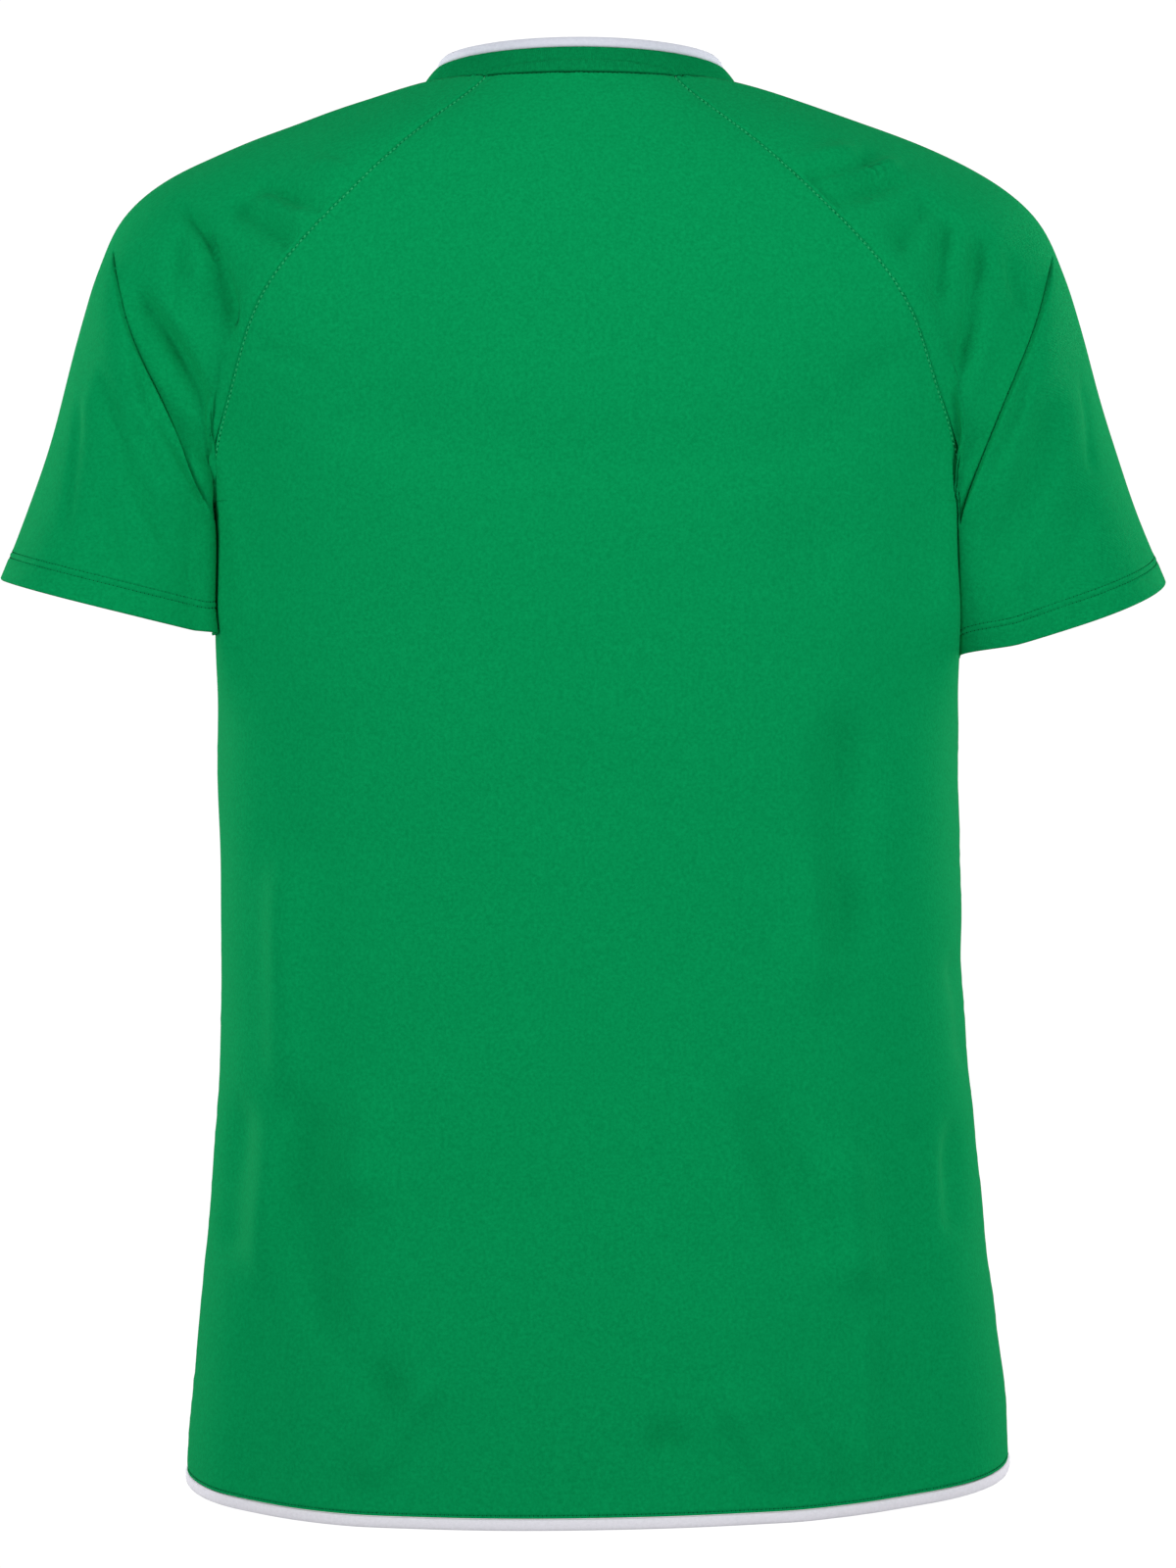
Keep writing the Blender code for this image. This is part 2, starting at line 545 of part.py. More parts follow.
def make_sleeve(name):
    sleeve = SLEEVES[name]
    grid, fold = sleeve_grid(sleeve, RAGLAN_STEPS * FINE, NECK_STEPS * FINE,
                             SLEEVE_ROWS * FINE)
    face = normals(grid, closed=True)
    middle = grid.mean(axis=1, keepdims=True)
    face *= np.sign((face * (grid - middle)).sum(axis=2).mean())
    still = smooth_step(np.linspace(0.0, 1.0, grid.shape[0]) / RAGLAN_STILL)[:, None]
    grid = folded(name, grid, face, still)
    grid, face, fold = grid[::FINE, ::FINE], face[::FINE, ::FINE], fold[::FINE]
    outer = draw_in(grid, SEAM_GAP / 2)
    outer[0, :, 0] += SEAM_GAP * fold
    mirror = np.array([sleeve["side"], 1.0, 1.0])
    return wall_mesh(name, shear(outer * mirror), shear((outer - WALL * face) * mirror),
                     True, GREEN)


def collar_angles():
    """The neckline's points, the same ones as on the panels and sleeves."""
    back = neck_corner(PANELS["back_panel"])
    front = math.pi - neck_corner(PANELS["front_panel"])
    half_back = np.linspace(-back, back, PANEL_STEPS + 1)[:-1]
    left = np.linspace(back, front, NECK_STEPS + 1)[:-1]
    half_front = np.linspace(front, 2.0 * math.pi - front, PANEL_STEPS + 1)[:-1]
    right = np.linspace(2.0 * math.pi - front, 2.0 * math.pi - back, NECK_STEPS + 1)[:-1]
    return np.concatenate([half_back, left, half_front, right])


def collar_profile(lower, upper, wall, lower_gap, upper_gap, crown):
    """Rings round a strip that stands from one ring of the collar to another."""
    angles = collar_angles()
    low = shear(collar_ring(lower, angles))
    high = shear(collar_ring(upper, angles))
    rise = high - low
    length = np.linalg.norm(rise, axis=1, keepdims=True)
    rise = rise / length
    round_way = np.roll(low, -1, axis=0) - np.roll(low, 1, axis=0)
    face = np.cross(rise, round_way)
    face /= np.linalg.norm(face, axis=1, keepdims=True)
    face *= np.sign((face[:, :2] * (low - low.mean(axis=0))[:, :2]).sum())
    low = low + rise * lower_gap
    high = high - rise * upper_gap
    rings = []
    for part in np.linspace(0.0, 1.0, 4):
        rings.append(low + (high - low) * part + face * crown * 4.0 * part * (1.0 - part))
    for part in np.linspace(1.0, 0.0, 3):
        rings.append(low + (high - low) * part - face * (wall - crown * 2.0 * part * (1.0 - part)))
    return rings


def make_collar_band():
    rings = collar_profile("seam", "edge_foot", COLLAR_WALL, SEAM_GAP / 2, SEAM_GAP / 2, 0.0006)
    return ring_mesh("collar_band", rings, RIB_GREEN)


def make_collar_edge():
    rings = collar_profile("edge_foot", "top", EDGE_WALL, SEAM_GAP / 2, 0.0, 0.0008)
    return ring_mesh("collar_edge", rings, WHITE)


def make_hem_binding():
    """The binding hangs from the lower edges of both panels, a little proud of them."""
    back = panel_face("back_panel")[0][:2]
    front = panel_face("front_panel")[0][:2]
    low = np.concatenate([back[:, :-1], front[:, ::-1][:, :-1]], axis=1)
    down = low[0] - low[1]
    down /= np.linalg.norm(down, axis=1, keepdims=True)
    round_way = np.roll(low[0], -1, axis=0) - np.roll(low[0], 1, axis=0)
    face = np.cross(down, round_way)
    face /= np.linalg.norm(face, axis=1, keepdims=True)
    face *= np.sign((face[:, :2] * low[0][:, :2]).sum())
    top = low[0] + down * SEAM_GAP
    proud = (BINDING_WALL - WALL) / 2
    drop = BINDING_HEIGHT
    profile = ((0.0, proud * 0.4), (0.12, proud), (0.85, proud), (1.0, proud * 0.1),
               (1.0, -WALL - proud * 0.1), (0.85, -WALL - proud), (0.12, -WALL - proud),
               (0.0, -WALL - proud * 0.4))
    rings = [top + down * drop * fall + face * out for fall, out in profile]
    return ring_mesh("hem_binding", rings, WHITE)


def main():
    for item in list(bpy.data.objects):
        bpy.data.objects.remove(item, do_unlink=True)
    for name in PANELS:
        make_panel(name)
    for name in SLEEVES:
        make_sleeve(name)
    make_collar_band()
    make_collar_edge()
    make_hem_binding()


main()
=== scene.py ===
# %% [markdown]
# # A plain raglan football jersey, filled out as worn
#
# The frame of simple solids is loaded first.  It fixes where everything is, in metres,
# with +Z up, the back of the jersey towards +Y and the wearer's left sleeve towards +X.
# Every piece made here lies on the form of its solid and takes its place in the picture.

# %% Load the frame
import math

import bmesh
import bpy
import numpy as np
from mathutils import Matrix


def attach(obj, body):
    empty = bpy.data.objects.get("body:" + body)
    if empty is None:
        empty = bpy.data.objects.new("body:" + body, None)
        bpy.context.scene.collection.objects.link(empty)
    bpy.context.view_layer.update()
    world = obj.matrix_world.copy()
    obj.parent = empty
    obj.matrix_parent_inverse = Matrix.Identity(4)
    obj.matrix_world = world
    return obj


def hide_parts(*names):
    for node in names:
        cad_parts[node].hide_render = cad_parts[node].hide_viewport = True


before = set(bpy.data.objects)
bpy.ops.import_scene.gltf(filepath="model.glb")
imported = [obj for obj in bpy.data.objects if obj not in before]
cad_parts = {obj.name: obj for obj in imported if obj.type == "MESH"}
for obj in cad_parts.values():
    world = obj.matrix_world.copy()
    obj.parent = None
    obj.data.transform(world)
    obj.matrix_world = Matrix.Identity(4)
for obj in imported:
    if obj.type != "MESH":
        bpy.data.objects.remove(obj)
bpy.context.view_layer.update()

print("nodes:", ", ".join(sorted(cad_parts)))

# %% [markdown]
# ## The camera
#
# The back of the jersey is looked at straight on, level with the middle of the chest,
# through a long lens, so that both sleeves are seen alike.  The wearer's left sleeve is
# then on the left of the picture.

# %% The camera behind the jersey
CAMERA_PLACE = (0.0, 2.80, -0.3565)
CAMERA_TURN = (math.radians(90.0), 0.0, math.radians(180.0))
LENS = 126.0              # millimetres,
SENSOR = 36.0             # on a sensor that is this long on its long side
CLIP_END = 60.0           # nothing further off than this is drawn


def add_object(name, data):
    """An object for a mesh, a lamp or a camera, linked to the scene."""
    item = bpy.data.objects.new(name, data)
    bpy.context.scene.collection.objects.link(item)
    return item


lens = bpy.data.cameras.new("long_lens")
lens.lens = LENS
lens.sensor_width = SENSOR
lens.clip_end = CLIP_END
camera = add_object("camera", lens)
camera.location = CAMERA_PLACE
camera.rotation_euler = CAMERA_TURN
bpy.context.scene.camera = camera
print("camera", CAMERA_PLACE, "lens", LENS)

# %% [markdown]
# ## A white studio
#
# Product pictures of shirts are taken in front of a white wall, between large soft
# lamps.  The world is pure white where the camera sees it, and a dimmer, even light
# everywhere else.  Large area lamps stand on both sides of the front and of the back, so
# the shirt is lit alike from all around, with a wide one overhead that lets each fold
# throw its soft shade downwards.

# %% Small helpers for shader nodes
def add_node(tree, kind, **settings):
    """A new node.  A setting is one of its attributes or, by its name, one of its inputs."""
    node = tree.nodes.new(kind)
    for key, value in settings.items():
        if hasattr(node, key):
            setattr(node, key, value)
        else:
            node.inputs[key.replace("_", " ").title()].default_value = value
    return node


def join(tree, source, socket, target, entry):
    tree.links.new(source.outputs[socket], target.inputs[entry])


# %% The world: white to look at, soft to be lit by
WHITE = (1.0, 1.0, 1.0, 1.0)
WALL_STRENGTH = 1.05      # enough for a wall of pure white
AMBIENT_ABOVE = 0.46      # the even light is stronger from above than from below
AMBIENT_BELOW = 0.26
scene = bpy.context.scene
scene.view_settings.view_transform = "Standard"
world = bpy.data.worlds.new("white_studio")
scene.world = world
world.use_nodes = True
tree = world.node_tree
tree.nodes.clear()
output = add_node(tree, "ShaderNodeOutputWorld")
mix = add_node(tree, "ShaderNodeMixShader")
path = add_node(tree, "ShaderNodeLightPath")
wall = add_node(tree, "ShaderNodeBackground", strength=WALL_STRENGTH)
soft = add_node(tree, "ShaderNodeBackground")
for background in (wall, soft):
    background.inputs["Color"].default_value = WHITE
where = add_node(tree, "ShaderNodeTexCoord")
parts = add_node(tree, "ShaderNodeSeparateXYZ")
strength = add_node(tree, "ShaderNodeMapRange", from_min=-1.0,
                    to_min=AMBIENT_BELOW, to_max=AMBIENT_ABOVE)
join(tree, where, "Generated", parts, "Vector")
join(tree, parts, "Z", strength, "Value")
join(tree, strength, "Result", soft, "Strength")
join(tree, path, "Is Camera Ray", mix, "Fac")
join(tree, soft, "Background", mix, 1)
join(tree, wall, "Background", mix, 2)
join(tree, mix, "Shader", output, "Surface")
print("even light from", AMBIENT_BELOW, "below to", AMBIENT_ABOVE, "above")

# %% Soft lamps round the jersey
LAMPS = (
    # name, place, aimed at, size, watts, and the spread in degrees that a grid leaves it
    ("back_left", (2.45, 2.05, 0.30), (0.20, 0.0, 0.20), 1.3, 9.45, 68),
    ("back_right", (-2.45, 2.05, 0.30), (-0.20, 0.0, 0.20), 1.3, 9.45, 68),
    ("front_left", (2.45, -2.05, 0.30), (0.20, 0.0, 0.20), 1.3, 9.45, 68),
    ("front_right", (-2.45, -2.05, 0.30), (-0.20, 0.0, 0.20), 1.3, 9.45, 68),
    ("overhead", (0.0, 0.0, 1.9), (0.0, 0.0, -0.06), 1.6, 1.6, 120),
)


def aim(item, target):
    """Turns a lamp so that it shines on the target."""
    from_lamp = np.array(target) - np.array(item.location)
    level = math.hypot(from_lamp[0], from_lamp[1])
    item.rotation_euler = (math.atan2(level, -from_lamp[2]), 0.0,
                           math.atan2(-from_lamp[0], from_lamp[1]))


for name, place, target, size, watts, spread in LAMPS:
    light = bpy.data.lights.new(name, "AREA")
    light.shape = "SQUARE"
    light.size = size
    light.energy = watts
    light.spread = math.radians(spread)
    lamp = add_object(name, light)
    lamp.location = place
    aim(lamp, target)
print("lamps:", len(LAMPS))

# %% A pale floor well below the hem
FLOOR_HEIGHT = -1.45
FLOOR_REACH = 2.2         # ends outside the picture of the back
FLOOR_COLOUR = (0.86, 0.86, 0.86, 1.0)
FLOOR_ROUGHNESS = 0.9

floor_mesh = bpy.data.meshes.new("floor")
floor_mesh.from_pydata([(x * FLOOR_REACH, y * FLOOR_REACH, FLOOR_HEIGHT)
                        for x, y in ((-1, -1), (1, -1), (1, 1), (-1, 1))], [], [(0, 1, 2, 3)])
floor = add_object("floor", floor_mesh)
floor_paint = bpy.data.materials.new("pale_floor")
floor_paint.use_nodes = True
paint = floor_paint.node_tree.nodes["Principled BSDF"]
paint.inputs["Base Color"].default_value = FLOOR_COLOUR
paint.inputs["Roughness"].default_value = FLOOR_ROUGHNESS
floor_mesh.materials.append(floor_paint)
print("floor at", FLOOR_HEIGHT)

# %% [markdown]
# ## The form that the solids have
#
# The cloth must lie exactly on its solids, yet be smoother than they are, because they
# are made of few, flat faces.  Reading the faces back would copy their corners.  So the
# same sizes are written here again: sections through the body, the way that the raglan
# seams run, the rings of the collar and of the sleeves.  Smooth curves through them give
# the form at any fineness.

# %% Driving sizes of the form
SEAM_GAP = 0.0003         # two sewn pieces lie this far apart
ARMPIT_HEIGHT = -0.2160   # where side seam, raglan seams and underarm seam meet
HEM_HEIGHT = -0.7000      # the panels' lower edge at the side seams
HEM_TILT = 0.0035         # the wearer's left side hangs this much lower, the right higher
HEM_TILT_REACH = 0.2000   # measured this far from the middle
HEM_FADE = 0.1300         # the curve of the hem dies out this far above it
BODY_ROWS = 56            # rows of the form from the hem to the armpit,
BODY_CROWD = 1.6          # crowded towards the armpit
RAGLAN_STEPS = 56         # its steps along each raglan seam,
PANEL_STEPS = 104         # across each panel,
NECK_STEPS = 32           # along the top edge of a sleeve
SLEEVE_ROWS = 64          # and from the raglan seam to the cuff
DENSE_STEPS = 320         # steps across a panel while its columns are spaced out
NECK_BLEND = 0.45         # from this share of a raglan seam a panel turns into its neckline
SCOOP_POWER = 1.5         # the rows of a panel bend into the neckline with this power
CORNER_POWER = 1.5        # and beside a neck corner a sleeve follows the panel with this one
print("form of a panel:", BODY_ROWS + RAGLAN_STEPS + 1, "by", PANEL_STEPS + 1, "points")

# %% Sections of the body, from the hem up to the neck
SECTION_COLUMNS = ("height", "half_width", "shift", "back_depth", "front_depth", "squareness")
SECTIONS = (
    (-0.730, 0.2110, -0.0050, 0.1265, 0.1215, 2.20),
    (-0.660, 0.2060, -0.0050, 0.1250, 0.1205, 2.20),
    (-0.600, 0.1996, -0.0042, 0.1225, 0.1195, 2.25),
    (-0.530, 0.1930, -0.0035, 0.1195, 0.1190, 2.30),
    (-0.460, 0.1888, -0.0022, 0.1185, 0.1200, 2.35),
    (-0.390, 0.1879, -0.0010, 0.1215, 0.1240, 2.40),
    (-0.320, 0.1882, 0.0000, 0.1285, 0.1290, 2.40),
    (-0.270, 0.1872, 0.0000, 0.1325, 0.1320, 2.40),
    (-0.235, 0.1872, 0.0003, 0.1348, 0.1335, 2.40),
    (-0.216, 0.1882, 0.0006, 0.1355, 0.1336, 2.40),
    (-0.190, 0.1925, 0.0010, 0.1358, 0.1325, 2.40),
    (-0.160, 0.2035, 0.0018, 0.1345, 0.1285, 2.40),
    (-0.125, 0.2200, 0.0025, 0.1295, 0.1170, 2.40),
    (-0.090, 0.2300, 0.0030, 0.1205, 0.0995, 2.40),
    (-0.060, 0.2240, 0.0035, 0.1085, 0.0830, 2.40),
    (-0.040, 0.1960, 0.0038, 0.0990, 0.0700, 2.40),
    (-0.022, 0.1450, 0.0040, 0.0880, 0.0570, 2.40),
    (-0.010, 0.1073, 0.0040, 0.0795, 0.0480, 2.40),
    (0.000, 0.0830, 0.0040, 0.0715, 0.0410, 2.40),
)

# The raglan seams: how far out each one runs at a height, from armpit to neck.
RAGLAN_COLUMNS = ("height", "half_width")
RAGLAN_BACK = ((-0.197, 0.1860), (-0.154, 0.1734), (-0.111, 0.1560),
               (-0.070, 0.1210), (-0.035, 0.0850), (-0.002, 0.0470))
RAGLAN_FRONT = ((-0.198, 0.1840), (-0.148, 0.1610), (-0.115, 0.1390),
                (-0.085, 0.1120), (-0.060, 0.0880), (-0.036, 0.0640))
PANELS = {
    "back_panel": {"facing": 1.0, "raglan": RAGLAN_BACK, "hem_dip": 0.0143},
    "front_panel": {"facing": -1.0, "raglan": RAGLAN_FRONT, "hem_dip": 0.0090},
}

# The rings of the collar: its seam, the foot of its white edge, and its top.
COLLAR_COLUMNS = ("half_width", "back_depth", "front_depth", "back_height",
                  "side_height", "front_height")
COLLAR_RINGS = {
    "seam": (0.0814, 0.0730, 0.0920, -0.0020, -0.0020, -0.0790),
    "edge_foot": (0.0733, 0.0655, 0.0855, 0.0114, 0.0075, -0.0665),
    "top": (0.0693, 0.0630, 0.0835, 0.0165, 0.0135, -0.0610),
}
SCOOP_START = math.radians(80)  # from this angle on the neckline falls to the front
BACK_RISE_POWER = 4             # how soon it falls from the back to the sides
print("sections:", len(SECTIONS))

# %% Rings of the sleeves, from the shoulder down to the cuff
SLEEVE_COLUMNS = ("outer_x", "outer_z", "inner_x", "inner_z", "back_depth", "front_depth")
SLEEVE_RINGS = (
    (0.1920, -0.0400, 0.1890, -0.2195, 0.0835, 0.0780),
    (0.2190, -0.0560, 0.1872, -0.2235, 0.0785, 0.0750),
    (0.2340, -0.0715, 0.1856, -0.2285, 0.0750, 0.0725),
    (0.2445, -0.0945, 0.1844, -0.2345, 0.0720, 0.0700),
    (0.2555, -0.1290, 0.1834, -0.2430, 0.0690, 0.0675),
    (0.2690, -0.1770, 0.1828, -0.2545, 0.0660, 0.0650),
    (0.2848, -0.2240, 0.1822, -0.2690, 0.0635, 0.0630),
    (0.2965, -0.2530, 0.1816, -0.2815, 0.0615, 0.0610),
)
SLEEVE_SQUARENESS = (2.0, 3.0)        # round at the outer side, flattened at the body
SLEEVE_NECK_ANGLE = math.radians(30)  # ring angle that the back neck corner runs to
SLEEVE_CROWD = 1.2                    # crowds the lines towards the shoulder
SLEEVES = {
    # full: the share of the fullness beside the armpits that is left away from the seam
    # reach: cloth nearer to the body than the first leans on it, past the second it stays
    "sleeve_left": {"side": 1.0, "swing": 0.024, "cuff_drop": 0.0025, "inner_drop": 0.0,
                    "full": 0.25, "reach": (0.003, 0.019)},
    "sleeve_right": {"side": -1.0, "swing": -0.018, "cuff_drop": 0.0085, "inner_drop": 0.008,
                     "full": 0.80, "reach": (0.006, 0.030)},
}
SHOULDER_SLOPE = (0.92, 0.0, -0.39)   # the way the left sleeve leaves the neckline
UNDERARM_FOLD = 0.40      # along this share of a raglan seam the sleeve doubles back
BODY_CLEARANCE = 0.0010   # a sleeve stays this far off the side of the body,
CLEARANCE_EASE = 0.0008   # leaves it in a curve this soft,
CLEARANCE_TOP = 0.0120    # and is held off from this far above the armpit
print("rings of a sleeve:", len(SLEEVE_RINGS))

# %% [markdown]
# ## Smooth curves through few sizes
#
# A maker draws a pattern from a few measures and a curved ruler.  Here the ruler is a
# cubic spline: the smoothest curve through the values, worked out with one small set of
# equations.  NumPy solves it for many curves at once, which keeps the script quick.

# %% Splines and steps
def spline_slopes(knots, values, first=None, last=None):
    """Slopes of the smoothest cubic through the values.  The last axis counts knots."""
    count = knots.shape[-1]
    step = np.diff(knots, axis=-1)
    matrix = np.zeros(knots.shape[:-1] + (count, count))
    right = np.zeros(values.shape)
    rise = np.diff(values, axis=-2) / step[..., None]
    for k in range(1, count - 1):
        before = step[..., k - 1]
        after = step[..., k]
        matrix[..., k, k - 1] = after
        matrix[..., k, k] = 2.0 * (before + after)
        matrix[..., k, k + 1] = before
        right[..., k, :] = 3.0 * (after[..., None] * rise[..., k - 1, :]
                                  + before[..., None] * rise[..., k, :])
    for end, neighbour, gap, given in ((0, 1, 0, first), (count - 1, count - 2, count - 2, last)):
        matrix[..., end, end] = 2.0 if given is None else 1.0
        matrix[..., end, neighbour] = 1.0 if given is None else 0.0
        right[..., end, :] = 3.0 * rise[..., gap, :] if given is None else given
    return np.linalg.solve(matrix, right)


def cubic_between(t, step, start, end, start_slope, end_slope):
    """The cubic from start to end at the share t of a step."""
    return ((1 + 2 * t) * (1 - t) ** 2 * start + t * (1 - t) ** 2 * step * start_slope
            + t * t * (3 - 2 * t) * end - t * t * (1 - t) * step * end_slope)


def spline(knots, values, at, first=None, last=None):
    """The smooth curve through values (knots, parts) read at the places `at`."""
    slopes = spline_slopes(knots, values, first, last)
    k = np.clip(np.searchsorted(knots, at) - 1, 0, len(knots) - 2)
    step = knots[k + 1] - knots[k]
    t = ((at - knots[k]) / step)[..., None]
    return cubic_between(t, step[..., None], values[k], values[k + 1], slopes[k], slopes[k + 1])


def smooth_step(x):
    x = np.clip(x, 0.0, 1.0)
    return x * x * (3.0 - 2.0 * x)


def step_between(x, none, whole):
    """A smooth step from 0 where x is `none` to 1 where it is `whole`."""
    return smooth_step((x - none) / (whole - none))


def bell(off, width):
    """1 in the middle, and falling off within about a width."""
    return np.exp(-(off / width) ** 2)


def unit(vectors):
    """The directions of the vectors, all of length 1."""
    return vectors / np.linalg.norm(vectors, axis=-1, keepdims=True)


def run_along(points):
    """Length from the start of a line to each of its points."""
    return np.concatenate([[0.0], np.cumsum(np.linalg.norm(np.diff(points, axis=0), axis=1))])


def column(table, columns, name):
    return np.array([row[columns.index(name)] for row in table])


def section(name, height):
    """One column of the body's sections, read at any height."""
    knots = column(SECTIONS, SECTION_COLUMNS, "height")
    values = column(SECTIONS, SECTION_COLUMNS, name)[:, None]
    at = np.clip(height, knots[0], knots[-1])
    return spline(knots, values, at)[..., 0]


print("half a chest at the armpit:", round(float(section("half_width", ARMPIT_HEIGHT)), 4))


# %% [markdown]
# ## The body panels
#
# The front and the back are cut flat, but worn they wrap half round a chest.  Each one is
# a grid: rows run from side to side at a height, and columns run from the hem to the
# neck.  Above the armpit the rows end at the raglan seam, and the top row is bent into
# the neckline, so the panel meets the collar and the sleeves point for point.

# %% The neckline and the raglan seams
def collar_ring(name, angle):
    """A ring of the collar.  Angle 0 is the back, a right angle the wearer's left."""
    size = dict(zip(COLLAR_COLUMNS, COLLAR_RINGS[name]))
    middle = (size["back_depth"] - size["front_depth"]) / 2.0
    reach = (size["back_depth"] + size["front_depth"]) / 2.0
    from_back = np.arccos(np.clip(np.cos(angle), -1.0, 1.0))
    scoop = np.clip((from_back - SCOOP_START) / (math.pi - SCOOP_START), 0.0, 1.0)
    height = (size["side_height"]
              + (size["back_height"] - size["side_height"]) * np.cos(from_back / 2) ** BACK_RISE_POWER
              + (size["front_height"] - size["side_height"]) * np.sin(scoop * math.pi / 2) ** 2)
    x = size["half_width"] * np.sin(angle)
    y = middle + reach * np.cos(angle)
    return np.stack([x, y, height], axis=-1)


def neck_corner(panel):
    """The collar angle where a panel's raglan seam meets the neckline."""
    out = panel["raglan"][-1][RAGLAN_COLUMNS.index("half_width")]
    half = COLLAR_RINGS["seam"][COLLAR_COLUMNS.index("half_width")]
    return math.asin(out / half)


def raglan_edge(panel, steps):
    """Height and turning angle of a panel's edge, from the armpit to the neck."""
    height = np.concatenate([[ARMPIT_HEIGHT], column(panel["raglan"], RAGLAN_COLUMNS, "height")])
    out = column(panel["raglan"], RAGLAN_COLUMNS, "half_width")
    ratio = np.concatenate([[1.0], out / section("half_width", height[1:])])
    power = section("squareness", height)
    turn = np.arcsin(np.clip(ratio, 0.0, 1.0) ** (power / 2.0))
    depth = section("back_depth" if panel["facing"] > 0 else "front_depth", height)
    place = np.stack([ratio * section("half_width", height),
                      depth * np.cos(turn) ** (2.0 / power), height], axis=-1)
    knots = run_along(place)
    at = np.linspace(0.0, knots[-1], steps + 1)
    level_start = np.array([0.0])
    return (spline(knots, height[:, None], at, first=level_start)[:, 0],
            np.clip(spline(knots, turn[:, None], at)[:, 0], 0.0, math.pi / 2),
            at / knots[-1])


for name, panel in PANELS.items():
    print(name, "neck corner at", round(math.degrees(neck_corner(panel)), 1), "degrees")


# %% The grid of a panel
def body_point(panel, side_height, turn, scoop, u):
    """Points of the body, across from its right edge (-1) to its left edge (+1)."""
    above_hem = smooth_step(1.0 - (side_height - HEM_HEIGHT) / HEM_FADE)
    bow = 1.0 - u ** 2
    height = side_height - (panel["hem_dip"] * above_hem + scoop) * bow
    depth_name = "back_depth" if panel["facing"] > 0 else "front_depth"
    power = section("squareness", height)
    angle = np.abs(u) * turn
    x = np.sign(u) * section("half_width", height) * np.sin(angle) ** (2.0 / power)
    y = panel["facing"] * section(depth_name, height) * np.cos(angle) ** (2.0 / power)
    height = height - HEM_TILT * above_hem * x / HEM_TILT_REACH
    return np.stack([x, y, height], axis=-1)


def lengths_along(points, axis):
    """Length from the start of each row (axis 1) or each column (axis 0) of points."""
    steps = np.linalg.norm(np.diff(points, axis=axis), axis=2)
    first = np.zeros_like(np.take(steps, [0], axis=axis))
    return np.concatenate([first, np.cumsum(steps, axis=axis)], axis=axis)


def closed_ring(grid):
    """A grid whose first column stands once more at its end."""
    return np.concatenate([grid, grid[:, :1]], axis=1)


def even_out(points, values, count):
    """Values along each row of points, spaced evenly by length."""
    length = lengths_along(points, 1)
    out = np.empty((len(points), count))
    for row in range(len(points)):
        wanted = np.linspace(0.0, length[row, -1], count)
        out[row] = np.interp(wanted, length[row], values[row])
    return out


def panel_grid(panel, body_rows, raglan_steps, across_steps):
    """The outer face of a panel as a grid of points, rows from the hem to the neck."""
    left_to_go = np.linspace(1.0, 0.0, body_rows + 1)[:-1] ** BODY_CROWD
    low = ARMPIT_HEIGHT - (ARMPIT_HEIGHT - HEM_HEIGHT) * left_to_go
    high, turn, along = raglan_edge(panel, raglan_steps)
    side_height = np.concatenate([low, high])[:, None]
    turn = np.concatenate([np.full(body_rows, math.pi / 2), turn])[:, None]
    along = np.concatenate([np.zeros(body_rows), along])[:, None]
    corner = neck_corner(panel)
    middle = 0.0 if panel["facing"] > 0 else math.pi
    neck_drop = (collar_ring("seam", np.array([middle + corner]))[0, 2]
                 - collar_ring("seam", np.array([middle]))[0, 2])
    scoop = max(neck_drop, 0.0) * smooth_step(along) ** SCOOP_POWER
    dense = np.tile(np.linspace(-1.0, 1.0, DENSE_STEPS + 1), (len(side_height), 1))
    rough = body_point(panel, side_height, turn, scoop, dense)
    u = even_out(rough, dense, across_steps + 1)
    grid = body_point(panel, side_height, turn, scoop, u)
    angle = corner * np.linspace(-1.0, 1.0, across_steps + 1)
    rim = collar_ring("seam", angle if panel["facing"] > 0 else math.pi - angle)
    blend = step_between(along, NECK_BLEND, 1.0)[..., None]
    return grid + (rim - grid[-1]) * blend


FORM = {name: panel_grid(panel, BODY_ROWS, RAGLAN_STEPS, PANEL_STEPS)
        for name, panel in PANELS.items()}
for name, grid in FORM.items():
    middle_line = lengths_along(grid, 0)[-1, PANEL_STEPS // 2]
    print(name, "is", round(float(middle_line), 4), "m down its middle")


# %% [markdown]
# ## The raglan sleeves
#
# A raglan sleeve runs up to the neck, between the front and the back.  Its grid starts
# on the loop of both raglan seams and the neckline, and each line of it leaves that loop
# in the direction of the panel it is sewn to.  So the cloth passes over the seam without
# a crease, rolls over the shoulder, and falls to the cuff through the sleeve's rings.

